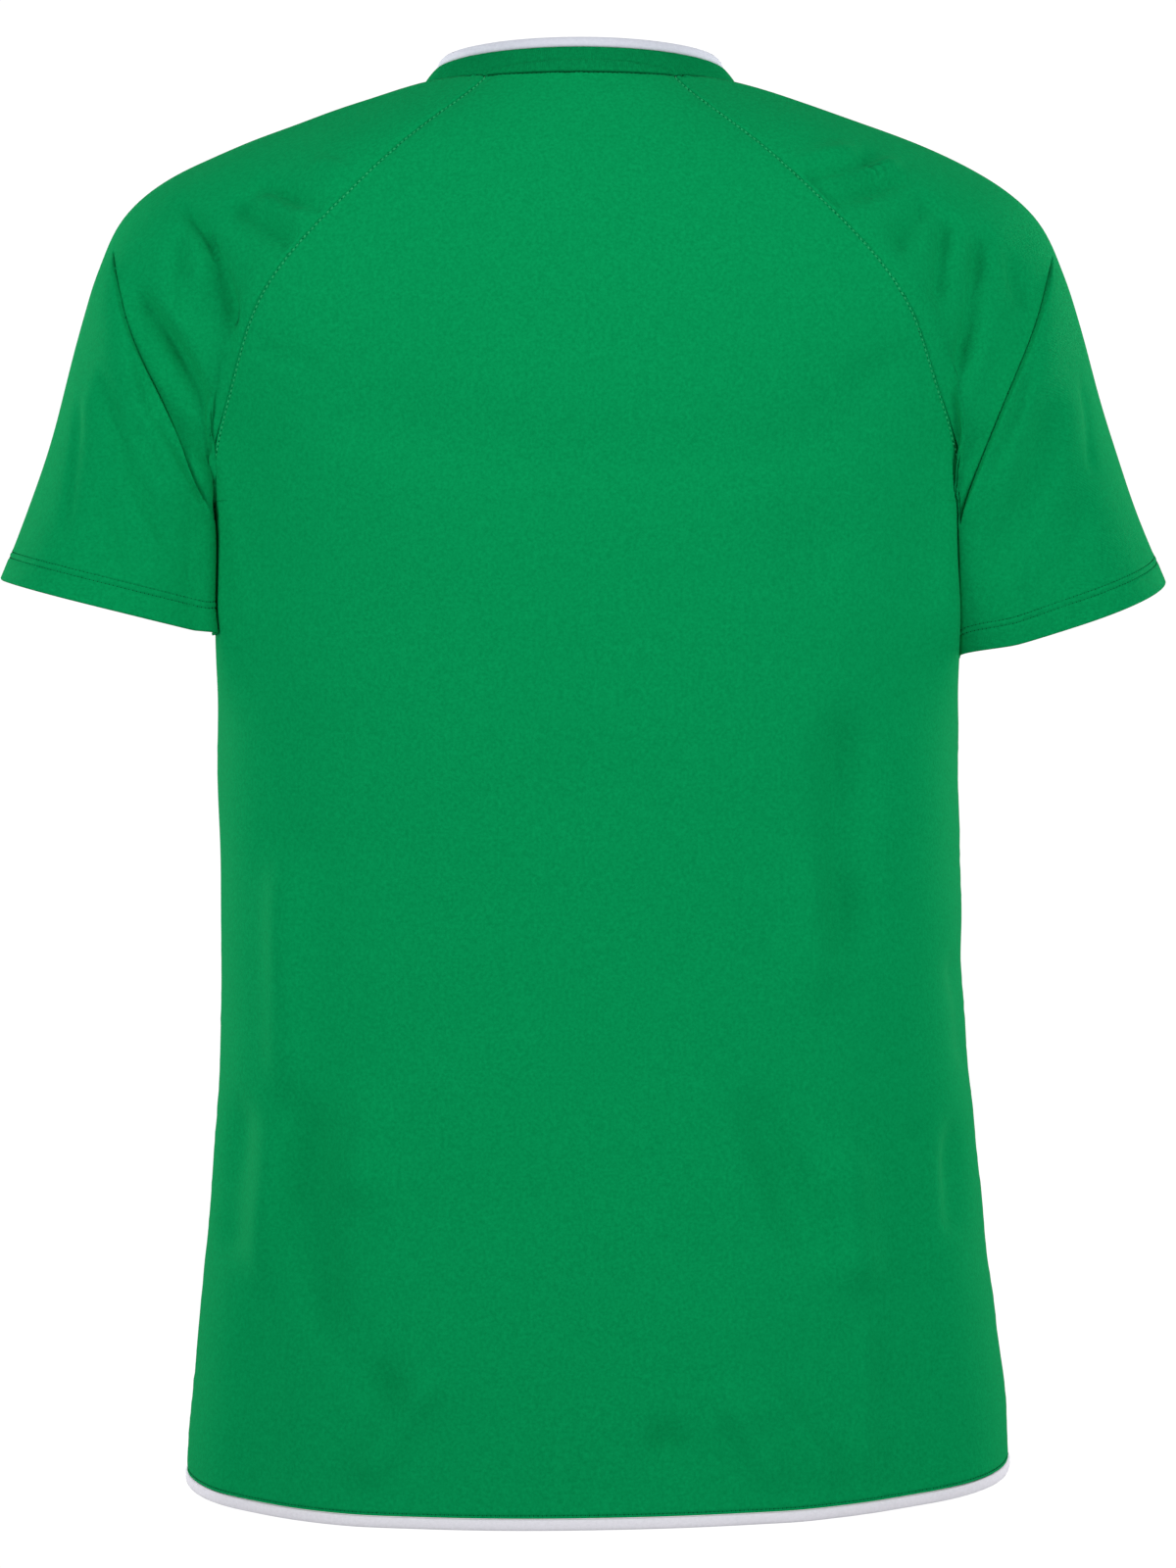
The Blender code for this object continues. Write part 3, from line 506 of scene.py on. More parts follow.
# %% The loop that a sleeve hangs from
def sleeve_loop():
    """The upper rim of the left sleeve: points, directions, ring angles and folds.

    It runs from the armpit up the back raglan seam, along the neckline and down the
    front raglan seam.  `fold` is 1 at the armpit, where the cloth doubles back.
    """
    points, leave, angles, fold = [], [], [], []
    for name, turn_sign in (("back_panel", 1.0), ("front_panel", -1.0)):
        grid = panel_grid(PANELS[name], BODY_ROWS, RAGLAN_STEPS, PANEL_STEPS * 2)[BODY_ROWS:]
        edge = grid[:, -1]
        along = unit(np.gradient(edge, axis=0))
        outward = edge - grid[:, -2]
        outward -= along * (outward * along).sum(axis=1, keepdims=True)
        part = np.linspace(0.0, 1.0, RAGLAN_STEPS + 1)
        angle = SLEEVE_NECK_ANGLE + (math.pi - SLEEVE_NECK_ANGLE) * (1.0 - part) ** SLEEVE_CROWD
        points.append(edge)
        leave.append(unit(outward))
        angles.append(turn_sign * angle)
        fold.append(smooth_step(1.0 - part / UNDERARM_FOLD))
    back_corner = neck_corner(PANELS["back_panel"])
    front_corner = math.pi - neck_corner(PANELS["front_panel"])
    part = np.linspace(0.0, 1.0, NECK_STEPS + 1)[1:-1]
    neck = collar_ring("seam", back_corner + (front_corner - back_corner) * part)
    shoulder = np.array(SHOULDER_SLOPE)
    towards = np.where(part[:, None] < 0.5, leave[0][-1], leave[1][-1])
    near = np.abs(2.0 * part - 1.0)[:, None] ** CORNER_POWER
    neck_leave = unit(shoulder + (towards - shoulder) * near)
    neck_angles = SLEEVE_NECK_ANGLE * (1.0 - 2.0 * part)

    def looped(sides, top):
        return np.concatenate([sides[0], top, sides[1][::-1][:-1]])

    return (looped(points, neck), looped(leave, neck_leave), looped(angles, neck_angles),
            looped(fold, np.zeros(len(part))))


def sleeve_rings(angles, sleeve):
    """Points of every ring of a sleeve, seen as the left one, at the given angles."""
    table = {name: column(SLEEVE_RINGS, SLEEVE_COLUMNS, name)[None, :] for name in SLEEVE_COLUMNS}
    along = np.linspace(0.0, 1.0, len(SLEEVE_RINGS))[None, :]
    c = np.cos(angles)[:, None]
    s = np.sin(angles)[:, None]
    round_side, flat_side = SLEEVE_SQUARENESS
    power = 2.0 / (round_side + (flat_side - round_side) * (1.0 - c) / 2.0)
    c = np.sign(c) * np.abs(c) ** power
    s = np.sign(s) * np.abs(s) ** power
    depth = np.where(s > 0.0, table["back_depth"], table["front_depth"])
    inner_z = table["inner_z"] - sleeve["inner_drop"] * along
    x = (table["outer_x"] + table["inner_x"]) / 2 + c * (table["outer_x"] - table["inner_x"]) / 2
    z = (table["outer_z"] + inner_z) / 2 + c * (table["outer_z"] - inner_z) / 2
    y = depth * s + sleeve["swing"] * along
    return np.stack([x, y, z - sleeve["cuff_drop"] * along * s], axis=-1)


def body_side(y, z):
    """How far out the side of the body lies, this far behind or in front of its seam."""
    under = np.minimum(z, ARMPIT_HEIGHT)
    depth = np.where(y > 0.0, section("back_depth", under), section("front_depth", under))
    power = section("squareness", under)
    inside = np.clip(1.0 - np.abs(y / depth) ** power, 0.0, 1.0)
    return section("half_width", under) * inside ** (1.0 / power)


def below_armpit(z):
    return smooth_step((ARMPIT_HEIGHT + CLEARANCE_TOP - z) / CLEARANCE_TOP)


def clear_of_body(points):
    """Pushes sleeve points out until they clear the side of the body."""
    x, y, z = points[..., 0], points[..., 1], points[..., 2]
    wanted = body_side(y, z) + BODY_CLEARANCE - x
    push = 0.5 * (wanted + np.sqrt(wanted ** 2 + CLEARANCE_EASE ** 2))
    moved = points.copy()
    moved[..., 0] = x + push * below_armpit(z)
    return moved


loop, leave, loop_angles, loop_fold = sleeve_loop()
print("points round a sleeve:", len(loop))


# %% The grid of a sleeve
def sleeve_grid(sleeve):
    """The outer face of the left sleeve, rows from the raglan seam to the cuff."""
    rings = sleeve_rings(loop_angles, sleeve)
    stations = np.concatenate([loop[:, None], rings], axis=1)
    knots = lengths_along(stations, 1)
    straight = (stations[:, 1] - stations[:, 0]) / knots[:, 1:2]
    start = unit(leave + (straight - leave) * loop_fold[:, None])
    slopes = spline_slopes(knots, stations, first=start)
    pick = np.arange(len(loop))
    out = np.empty((SLEEVE_ROWS + 1, len(loop), 3))
    for row, part in enumerate(np.linspace(0.0, 1.0, SLEEVE_ROWS + 1)):
        at = part * knots[:, -1]
        k = np.clip((knots <= at[:, None]).sum(axis=1) - 1, 0, knots.shape[1] - 2)
        step = (knots[pick, k + 1] - knots[pick, k])[:, None]
        t = ((at - knots[pick, k])[:, None]) / step
        out[row] = cubic_between(t, step, stations[pick, k], stations[pick, k + 1],
                                 slopes[pick, k], slopes[pick, k + 1])
    return clear_of_body(out)


for name, sleeve in SLEEVES.items():
    FORM[name] = sleeve_grid(sleeve)
    top_line = lengths_along(FORM[name], 0)[-1]
    print(name, "is", round(float(top_line.max()), 4), "m along its top")

# %% [markdown]
# ## The largest folds
#
# The solids carry the largest folds, because these change the outline.  They are
# repeated with the same sizes.  Each one is a straight or bowed line in the view from
# behind or from the front, and lifts the cloth along its own outward direction.

# %% Folds that the solids have too
FOLD_COLUMNS = ("piece", "facing", "x0", "z0", "x1", "z1", "bow", "width", "lift")
FOLDS = (
    ("sleeve_left", 1, 0.2260, -0.0850, 0.1850, -0.1960, 0.0060, 0.0130, -0.0036),
    ("sleeve_left", 1, 0.2420, -0.0910, 0.1960, -0.2120, 0.0060, 0.0130, 0.0030),
    ("sleeve_left", 1, 0.1870, -0.0800, 0.1800, -0.1350, 0.0000, 0.0110, -0.0022),
    ("sleeve_left", -1, 0.2200, -0.0900, 0.1900, -0.1900, 0.0060, 0.0140, -0.0036),
    ("sleeve_left", -1, 0.2380, -0.1000, 0.2020, -0.2080, 0.0060, 0.0130, 0.0026),
    ("sleeve_right", 1, 0.2240, -0.0850, 0.1840, -0.2020, 0.0075, 0.0130, -0.0036),
    ("sleeve_right", 1, 0.2400, -0.0910, 0.1960, -0.2170, 0.0075, 0.0130, 0.0030),
    ("sleeve_right", 1, 0.1960, -0.0900, 0.1840, -0.1600, 0.0000, 0.0110, -0.0022),
    ("sleeve_right", -1, 0.2180, -0.0900, 0.1880, -0.1940, 0.0060, 0.0140, -0.0036),
    ("sleeve_right", -1, 0.2360, -0.1000, 0.2010, -0.2120, 0.0060, 0.0130, 0.0026),
    ("back_panel", 1, 0.0640, -0.6100, 0.1200, -0.7300, 0.0, 0.0200, 0.0030),
    ("back_panel", 1, -0.0560, -0.6100, -0.1100, -0.7300, 0.0, 0.0200, 0.0032),
    ("back_panel", 1, -0.1500, -0.5200, -0.1600, -0.7300, 0.0, 0.0180, -0.0030),
    ("back_panel", 1, 0.1600, -0.5600, 0.1680, -0.7300, 0.0, 0.0180, -0.0026),
    ("front_panel", -1, 0.0700, -0.5800, 0.1150, -0.7300, 0.0, 0.0220, 0.0032),
    ("front_panel", -1, -0.0760, -0.5600, -0.1220, -0.7300, 0.0, 0.0220, 0.0030),
    ("front_panel", -1, 0.1580, -0.5400, 0.1680, -0.7300, 0.0, 0.0180, -0.0028),
    ("front_panel", -1, -0.1560, -0.5200, -0.1660, -0.7300, 0.0, 0.0180, -0.0028),
)
FOLD_RISE = 0.40          # a fold rises over this share of its length,
FOLD_FALL = 0.30          # dies out over this share,
FOLD_OVERRUN = 0.15       # and runs past both of its ends by this share
SIDE_STILL = 0.12         # folds die out over this share of a panel beside its seams,
NECK_STILL = 0.10         # over this share below its neckline,
RAGLAN_STILL = 0.12       # and over this share of a sleeve beside its raglan seam
FACING_STEEP = 2.0        # they fade where the cloth turns away, the sooner the smaller this is


def rows_for(name, table, columns):
    """Number and named values of each row of a table that is for one piece."""
    for number, row in enumerate(table):
        item = dict(zip(columns, row))
        if item["piece"] == name:
            yield number, item


def fold_lift(name, points, face):
    """How far each point is moved along its normal by the largest folds of its piece."""
    lift = np.zeros(points.shape[:-1])
    place = points[..., (0, 2)]
    for _, fold in rows_for(name, FOLDS, FOLD_COLUMNS):
        start = np.array([fold["x0"], fold["z0"]])
        way = np.array([fold["x1"], fold["z1"]]) - start
        length = np.linalg.norm(way)
        way = way / length
        out = np.array([-way[1], way[0]])
        along = ((place - start) @ way) / length
        along = np.clip(along, -FOLD_OVERRUN, 1.0 + FOLD_OVERRUN)
        off = (place - start) @ out - 4.0 * fold["bow"] * along * (1.0 - along)
        taper = (smooth_step((along + FOLD_OVERRUN) / FOLD_RISE)
                 * smooth_step((1.0 + FOLD_OVERRUN - along) / FOLD_FALL))
        seen = smooth_step(FACING_STEEP * fold["facing"] * face[..., 1])
        lift += fold["lift"] * bell(off, fold["width"]) * taper * seen
    return lift


def shear(points):
    """The whole jersey leans a little: its middle shifts with the height."""
    moved = points.copy()
    moved[..., 0] += section("shift", points[..., 2])
    return moved


def normals(grid, closed):
    """Unit normals of a grid of points, whose rows may close into rings."""
    down = np.gradient(grid, axis=0)
    if closed:
        across = np.roll(grid, -1, axis=1) - np.roll(grid, 1, axis=1)
    else:
        across = np.gradient(grid, axis=1)
    return unit(np.cross(across, down))


print("largest folds:", len(FOLDS))

# %% [markdown]
# At the armpit the cloth does not curve away at once, as a plain oval would.  What the
# sleeve has no room for stands there, and holds the panel nearly flat up to the line where
# the sleeve starts.  So the form is pushed out on both sides of each armpit.  The edge of
# the sleeve gets the same push as the panel it is sewn to, which keeps their seam closed.
# Below the armpit the sleeve leans on the body, and only a thin line parts them.

# %% Cloth held full beside the armpits
FULL = 0.0340             # the cloth stands this much further out, to the back or the front,
FULL_DEPTH = 0.032        # where it lies this far from the side seam
FULL_TOP = (-0.120, -0.175)           # it starts between these heights,
FULL_LOW = (-0.335, -0.265)           # dies out between these,
FULL_OUT = (0.240, 0.187)             # between these distances from the middle,
FULL_SLEEVE = 0.050                   # and on a sleeve eases to its own share this far from its seam
LEAN_GAP = 0.0004         # where a sleeve leans on the body, it comes this close
LEAN_DEPTH = 0.042        # above the armpit no further in than the body's side at this depth,
LEAN_FREE = 0.012         # and below it this much further
LEAN_TOP = (-0.172, -0.203)           # it comes to lean between these heights
LEAN_START = 0.008        # and between its seam and this far from it
LEAN_EASE = 0.010         # the armpit is eased over this much above and below it
HALVINGS = 24             # how often a depth is halved to find it


def push(y, z):
    """How much further out the cloth stands at a depth and a height."""
    band = step_between(z, *FULL_TOP) * step_between(z, *FULL_LOW)
    share = y / FULL_DEPTH
    return FULL * band * share * np.exp((1.0 - share ** 2) / 2.0)


def pushed_full(points, strength):
    """The form with its cloth pushed out beside the armpits."""
    out = step_between(np.abs(points[..., 0]), *FULL_OUT)
    moved = points.copy()
    moved[..., 1] += push(points[..., 1], points[..., 2]) * out * strength
    return moved


def depth_before(y, z):
    """The depth that a depth had before the push."""
    low, high = np.zeros_like(y), np.abs(y)
    for _ in range(HALVINGS):
        middle = (low + high) / 2.0
        past = middle + push(middle, z) > np.abs(y)
        low, high = np.where(past, low, middle), np.where(past, middle, high)
    return np.sign(y) * high


def leaning(points, reach):
    """A sleeve whose inner side leans on the pushed body.

    Cloth nearer to the body than the first reach comes close, and past the second it stays.
    """
    y, z = points[..., 1], points[..., 2]
    below = smooth_step((ARMPIT_HEIGHT + LEAN_EASE - z) / (2.0 * LEAN_EASE))
    furthest = body_side(LEAN_DEPTH * np.sign(y), z) - LEAN_FREE * below
    body = np.maximum(body_side(depth_before(y, z), z), furthest)
    gap = points[..., 0] - body
    closer = LEAN_GAP + np.maximum(gap - LEAN_GAP, 0.0) * step_between(gap, *reach) - gap
    leans = step_between(z, *LEAN_TOP)
    moved = points.copy()
    free = smooth_step(lengths_along(points, 0) / LEAN_START)
    moved[..., 0] += closer * np.where(closer > 0.0, below_armpit(z), leans) * free
    return moved


print("cloth beside the armpits stands out up to", FULL, "m")


# %% Put the folds on the panels and sleeves
def finished_panel(name):
    """Form and outward directions of a panel, with the solids' folds on it."""
    grid = shear(FORM[name])
    face = normals(grid, closed=False)
    face *= PANELS[name]["facing"] * np.sign(face[..., 1].mean())
    face[:BODY_ROWS + 1, (0, -1), 1] = 0.0
    across = np.abs(np.linspace(-1.0, 1.0, grid.shape[1]))[None, :]
    down = np.linspace(1.0, 0.0, grid.shape[0])[:, None]
    still = smooth_step((1.0 - across) / SIDE_STILL) * smooth_step(down / NECK_STILL)
    grid = grid + face * (fold_lift(name, grid, face) * still)[..., None]
    return pushed_full(grid, 1.0), face


def finished_sleeve(name):
    """Form and outward directions of a sleeve, with the solids' folds on it."""
    grid = FORM[name]
    face = normals(grid, closed=True)
    middle = grid.mean(axis=1, keepdims=True)
    face *= np.sign((face * (grid - middle)).sum(axis=2).mean())
    still = smooth_step(np.linspace(0.0, 1.0, grid.shape[0]) / RAGLAN_STILL)[:, None]
    grid = grid + face * (fold_lift(name, grid, face) * still)[..., None]
    away = smooth_step(lengths_along(grid, 0) / FULL_SLEEVE)
    grid = pushed_full(grid, 1.0 - away * (1.0 - SLEEVES[name]["full"]))
    grid = leaning(grid, SLEEVES[name]["reach"])
    mirror = np.array([SLEEVES[name]["side"], 1.0, 1.0])
    return shear(grid * mirror), face * mirror


cloth = {name: finished_panel(name) for name in PANELS}
cloth.update({name: finished_sleeve(name) for name in SLEEVES})
for name, (grid, face) in cloth.items():
    print(name, "reaches", [round(float(v), 4) for v in grid.reshape(-1, 3).max(axis=0)])

# %% [markdown]
# ## Creases
#
# Knitted cloth that hangs on a body falls into soft troughs and ridges, and where a
# sleeve turns down it even laps over itself.  Cloth simulation would make creases of its
# own, in other places.  So each crease is laid as a smooth line through a few points,
# seen from behind or from the front, with its own width on either side and its own
# height.  No two are alike, and the front has its own set, as cloth has.

# %% The soft creases
TENTHS_A_METRE = 10000.0  # here all sizes are in tenths of a millimetre
CREASE_GROUPS = (
    # piece, facing, and for each crease its lift, its width to the left and to the right,
    # and the points that it runs through, across and up
    ("sleeve_left", 1, (  # the left sleeve, from behind
        (-30, 24, 34, ((2290, -1350), (2194, -1613), (2120, -1779), (2038, -1915), (1964, -2057),
         (1905, -2190), (1872, -2330))),
        (-70, 50, 36, ((2290, -1040), (2200, -1175), (2112, -1290), (2033, -1405), (1976, -1510),
         (1915, -1632), (1860, -1790))),
        (-60, 42, 24, ((2080, -590), (1975, -730), (1880, -860), (1815, -993), (1772, -1149),
         (1745, -1400))),
        (22, 60, 60, ((2000, -790), (1930, -950), (1880, -1150))),
        (-36, 40, 50, ((2042, -760), (2025, -1010), (2012, -1260))),
        (-26, 80, 80, ((1823, -950), (1845, -1110), (1871, -1280))),
        (-28, 28, 36, ((2440, -1450), (2375, -1680), (2314, -1857), (2235, -2060), (2158, -2227),
         (2000, -2500))),
        (22, 100, 90, ((2497, -1466), (2480, -1709), (2440, -1986))),
        (-16, 26, 30, ((2265, -1750), (2180, -1920), (2095, -2090))),
        (-26, 50, 50, ((2370, -2090), (2300, -2320), (2200, -2560))),
        (-20, 26, 30, ((2520, -1540), (2553, -1857), (2600, -2350))),
        (-52, 50, 40, ((1790, -650), (1580, -810), (1400, -930))),
        (-56, 50, 40, ((1690, -560), (1500, -650), (1270, -750))),
        (44, 50, 50, ((1660, -620), (1500, -710), (1330, -830))),
        (36, 40, 50, ((1400, -480), (1270, -530), (1150, -610))),
    )),
    ("sleeve_right", 1, (  # the right sleeve, from behind
        (-28, 40, 28, ((-2240, -1430), (-2170, -1620), (-2110, -1790), (-2040, -1950), (-1975, -2110))),
        (-56, 56, 46, ((-1975, -740), (-1950, -960), (-1915, -1200), (-1870, -1430), (-1815, -1640))),
        (-26, 80, 80, ((-1999, -780), (-2010, -970), (-2008, -1200))),
        (-54, 50, 45, ((-1820, -700), (-1775, -860), (-1750, -1040), (-1742, -1230))),
        (-46, 50, 45, ((-1730, -630), (-1610, -790), (-1500, -980))),
        (-28, 35, 45, ((-2095, -860), (-2136, -1070), (-2165, -1240))),
        (-18, 25, 30, ((-2480, -1470), (-2512, -1755), (-2540, -2040))),
        (-30, 70, 90, ((-2320, -1560), (-2180, -2144), (-1950, -2600))),
        (-20, 60, 60, ((-2510, -2080), (-2450, -2330), (-2375, -2600))),
        (20, 80, 90, ((-2420, -1500), (-2370, -1900), (-2280, -2300))),
        (44, 50, 50, ((-980, -560), (-1177, -465), (-1400, -430))),
        (-46, 50, 50, ((-1020, -580), (-1233, -526), (-1460, -440))),
        (50, 40, 40, ((-1090, -620), (-1340, -545), (-1600, -470))),
        (-50, 50, 50, ((-1100, -690), (-1381, -609), (-1600, -520))),
    )),
    ("back_panel", 1, (  # the upper back
        (-41, 160, 240, ((1691, -1533), (953, -1845), (-2, -1995), (-1201, -1839), (-1697, -1483))),
        (-36, 35, 22, ((1822, -2200), (1803, -2397), (1783, -2592), (1764, -2900))),
        (-41, 300, 220, ((-1180, -1800), (-1140, -2400), (-1105, -3100))),
        (-73, 120, 140, ((-1278, -3084), (-1265, -3806), (-1247, -4530))),
        (53, 110, 140, ((-1133, -3806), (-1119, -4287), (-1100, -4769))),
        (57, 90, 110, ((1501, -3807), (1503, -4488), (1513, -5168))),
        (-65, 130, 110, ((1427, -5019), (1361, -5741), (1275, -6458))),
        (57, 90, 90, ((1529, -5169), (1578, -5656), (1627, -6144))),
        (-57, 90, 90, ((1738, -5036), (1784, -5528), (1824, -6020))),
        (57, 110, 120, ((1057, -5010), (1105, -5395), (1154, -5733))),
        (-73, 120, 120, ((-770, -5004), (-963, -5486), (-1157, -5970))),
        (57, 110, 110, ((-1256, -5253), (-1305, -5687), (-1353, -6121))),
        (-28, 40, 60, ((-1609, -5200), (-1607, -5290), (-1606, -5400))),
        (-49, 50, 90, ((-1829, -5170), (-1826, -5500), (-1822, -5863))),
        (-49, 60, 80, ((-1854, -4355), (-1900, -4700), (-1948, -5062))),
        (-24, 80, 110, ((-1690, -1390), (-1440, -1530), (-1180, -1690))),
        (-22, 30, 30, ((1690, -1370), (1560, -1440), (1290, -1530))),
    )),
    ("back_panel", 1, (  # above the hem at the back
        (58, 90, 70, ((721, -6420), (930, -6720), (1147, -7050))),
        (-61, 120, 120, ((861, -6347), (990, -6500), (1103, -6690))),
        (50, 80, 100, ((-615, -6469), (-790, -6730), (-961, -7050))),
        (52, 60, 60, ((-826, -6472), (-1040, -6740), (-1252, -7050))),
        (-57, 90, 90, ((-289, -6623), (-380, -6760), (-480, -6950))),
        (28, 40, 30, ((-1373, -6122), (-1371, -6601), (-1370, -7081))),
    )),
    ("sleeve_left", -1, (  # the left sleeve, from the front
        (-58, 52, 42, ((2160, -1070), (2070, -1230), (1985, -1400), (1915, -1580), (1850, -1760))),
        (-50, 42, 55, ((1930, -800), (1840, -960), (1770, -1190))),
        (24, 60, 70, ((2020, -900), (1960, -1080), (1890, -1300))),
        (-28, 26, 36, ((2310, -1400), (2230, -1640), (2120, -1880), (2010, -2130))),
        (-26, 34, 30, ((2450, -1560), (2380, -1900), (2250, -2270))),
        (-22, 60, 50, ((2560, -1900), (2520, -2150), (2450, -2400))),
        (-34, 40, 50, ((1700, -760), (1560, -880), (1450, -1000))),
        (28, 50, 40, ((1560, -660), (1430, -760), (1320, -880))),
    )),
    ("sleeve_right", -1, (  # the right sleeve, from the front
        (-62, 44, 56, ((-2120, -990), (-2055, -1160), (-1960, -1370), (-1880, -1600), (-1830, -1740))),
        (-46, 50, 40, ((-1880, -840), (-1800, -1010), (-1740, -1230))),
        (-24, 30, 36, ((-2290, -1330), (-2220, -1560), (-2130, -1800), (-2000, -2060))),
        (-28, 60, 80, ((-2400, -1640), (-2310, -2020), (-2150, -2440))),
        (-20, 30, 24, ((-2530, -1600), (-2570, -1900), (-2610, -2270))),
        (-36, 50, 40, ((-1640, -720), (-1510, -830), (-1390, -960))),
        (30, 40, 50, ((-1480, -640), (-1360, -740), (-1250, -850))),
    )),
    ("front_panel", -1, (  # the chest and the front below it
        (-23, 200, 180, ((1600, -1700), (900, -2080), (50, -2200), (-950, -2010), (-1560, -1640))),
        (-20, 24, 36, ((1810, -2240), (1785, -2500), (1750, -2860))),
        (-18, 36, 26, ((-1800, -2260), (-1770, -2480), (-1745, -2760))),
        (-38, 140, 120, ((1210, -3200), (1240, -3900), (1230, -4600))),
        (29, 120, 100, ((1060, -3700), (1090, -4200), (1100, -4700))),
        (-34, 110, 130, ((-1400, -3900), (-1420, -4600), (-1400, -5300))),
        (29, 100, 100, ((-1530, -4400), (-1570, -5000), (-1580, -5600))),
        (-38, 120, 140, ((700, -4900), (900, -5450), (1110, -6000))),
        (32, 110, 100, ((1300, -5100), (1360, -5600), (1420, -6100))),
        (-34, 130, 110, ((-1050, -5200), (-1010, -5800), (-930, -6400))),
        (-29, 90, 80, ((-1780, -5000), (-1820, -5450), (-1850, -5950))),
    )),
    ("front_panel", -1, (  # above the hem at the front
        (40, 70, 90, ((660, -6500), (850, -6760), (1040, -7050))),
        (34, 70, 60, ((930, -6480), (1120, -6740), (1300, -7050))),
        (43, 90, 80, ((-700, -6450), (-880, -6730), (-1080, -7050))),
        (-32, 100, 100, ((-360, -6560), (-450, -6760), (-520, -6960))),
        (-29, 90, 100, ((300, -6640), (380, -6780), (470, -6960))),
    )),
)
CREASE_COLUMNS = ("piece", "facing", "lift", "left", "right", "points")
CREASES = [(piece, facing, lift / TENTHS_A_METRE, left / TENTHS_A_METRE, right / TENTHS_A_METRE,
            np.array(points) / TENTHS_A_METRE)
           for piece, facing, rows in CREASE_GROUPS for lift, left, right, points in rows]
print("soft creases:", len(CREASES))

# %% [markdown]
# A crease is read by distance.  Its points are joined by a smooth line, every point of
# the cloth near it gets the distance to that line, counted to the left or to the right,
# and the height falls off like a bell on either side.  The ends fade, and the height
# wanders a little on the way, since a crease in knitted cloth is never even.

# %% Distance to a line, and the lift of a crease
CREASE_STEPS = 28         # short straight stretches that stand for a crease's line
CREASE_FADE = 0.24        # a crease fades over this share of its length at both ends
CREASE_SOFT = 2.2         # or over so many times its width, if that is longer,
CREASE_REACH = 2.6        # and is read up to so many times its width away
CREASE_WANDER = 0.18      # its height wanders by this share,
WANDER_TURNS = 1.7        # this often along its length,
WANDER_SHIFT = 0.37       # starting this share of a turn after the crease before it


def smooth_line(points, steps):
    """A smooth line through a few points."""
    points = np.array(points, dtype=float)
    knots = run_along(points)
    return spline(knots, points, np.linspace(0.0, knots[-1], steps + 1))


def near_line(place, line, reach):
    """Which places lie in the box round a line, widened by a reach."""
    return ((place > line.min(axis=0) - reach) & (place < line.max(axis=0) + reach)).all(axis=1)


def beside_line(place, line):
    """Share along the line, and distance to its left (+) or right (-), of each place."""
    start, way = line[:-1], np.diff(line, axis=0)
    length = np.linalg.norm(way, axis=1)
    heading = way / length[:, None]
    rel = place[:, None, :] - start[None]
    along = np.clip((rel * heading).sum(axis=2), 0.0, length)
    gap = rel - along[..., None] * heading
    far = np.linalg.norm(gap, axis=2)
    near = far.argmin(axis=1)
    pick = np.arange(len(place))
    side = heading[near, 0] * gap[pick, near, 1] - heading[near, 1] * gap[pick, near, 0]
    run = np.concatenate([[0.0], np.cumsum(length)])
    share = (run[near] + along[pick, near]) / run[-1]
    return share, np.where(side >= 0.0, far[pick, near], -far[pick, near])


def crease_lift(name, points, face):
    """How far the soft creases move each point of a piece along its normal."""
    lift = np.zeros(len(points))
    place = points[:, (0, 2)]
    for number, crease in rows_for(name, CREASES, CREASE_COLUMNS):
        line = smooth_line(crease["points"], CREASE_STEPS)
        widest = max(crease["left"], crease["right"])
        near = near_line(place, line, CREASE_REACH * widest) & (crease["facing"] * face[:, 1] > 0.0)
        share, off = beside_line(place[near], line)
        width = np.where(off > 0.0, crease["left"], crease["right"])
        turns = WANDER_TURNS * share + WANDER_SHIFT * number
        wander = 1.0 + CREASE_WANDER * np.sin(2.0 * math.pi * turns)
        length = np.linalg.norm(np.diff(line, axis=0), axis=1).sum()
        fade = max(CREASE_FADE, CREASE_SOFT * widest / length)
        ends = smooth_step(share / fade) * smooth_step((1.0 - share) / fade)
        seen = smooth_step(FACING_STEEP * crease["facing"] * face[near, 1])
        lift[near] += crease["lift"] * bell(off, width) * ends * wander * seen
    return lift


print("a crease is", CREASE_STEPS, "stretches long")

# %% [markdown]
# ## Where the sleeve laps over itself
#
# When an arm hangs, the cloth between shoulder and armpit has nowhere to go: the outer
# part of the sleeve slips over the inner part and shows as a thin dark line with a lip.
# Such a fold needs real depth: the outer cloth rises to the line, rounds over into a lip,
# and turns back under it in a narrow slot, from which the sunken inner cloth comes out.

# %% The lapped folds, in metres
LAP_COLUMNS = ("piece", "facing", "rise", "dip", "reach_out", "reach_in", "points")
LAPS = (
    ("sleeve_left", 1, 0.0024, 0.0008, 0.011, 0.012,
     ((0.2385, -0.0874), (0.2335, -0.1134), (0.2250, -0.1395), (0.2138, -0.1618),
      (0.2024, -0.1867), (0.1945, -0.2060), (0.1885, -0.2190), (0.1850, -0.2270))),
    ("sleeve_right", 1, 0.0024, 0.0008, 0.011, 0.012,
     ((-0.2348, -0.0881), (-0.2302, -0.1086), (-0.2209, -0.1351), (-0.2081, -0.1662),
      (-0.1959, -0.1958), (-0.1886, -0.2150), (-0.1846, -0.2285))),
    ("sleeve_left", -1, 0.0020, 0.0012, 0.012, 0.012,
     ((0.2305, -0.1010), (0.2215, -0.1290), (0.2095, -0.1560), (0.1975, -0.1830), (0.1885, -0.2060))),
    ("sleeve_right", -1, 0.0020, 0.0012, 0.010, 0.013,
     ((-0.2290, -0.0930), (-0.2225, -0.1200), (-0.2120, -0.1490), (-0.1990, -0.1800),
      (-0.1880, -0.2090))),
)
LAP_ROUND = 0.0012        # the lip rounds over within this distance
LAP_SLIP = 0.0005         # and overhangs the line by this much
LAP_SLIP_REACH = 0.0040   # the slip dies out this far from the line
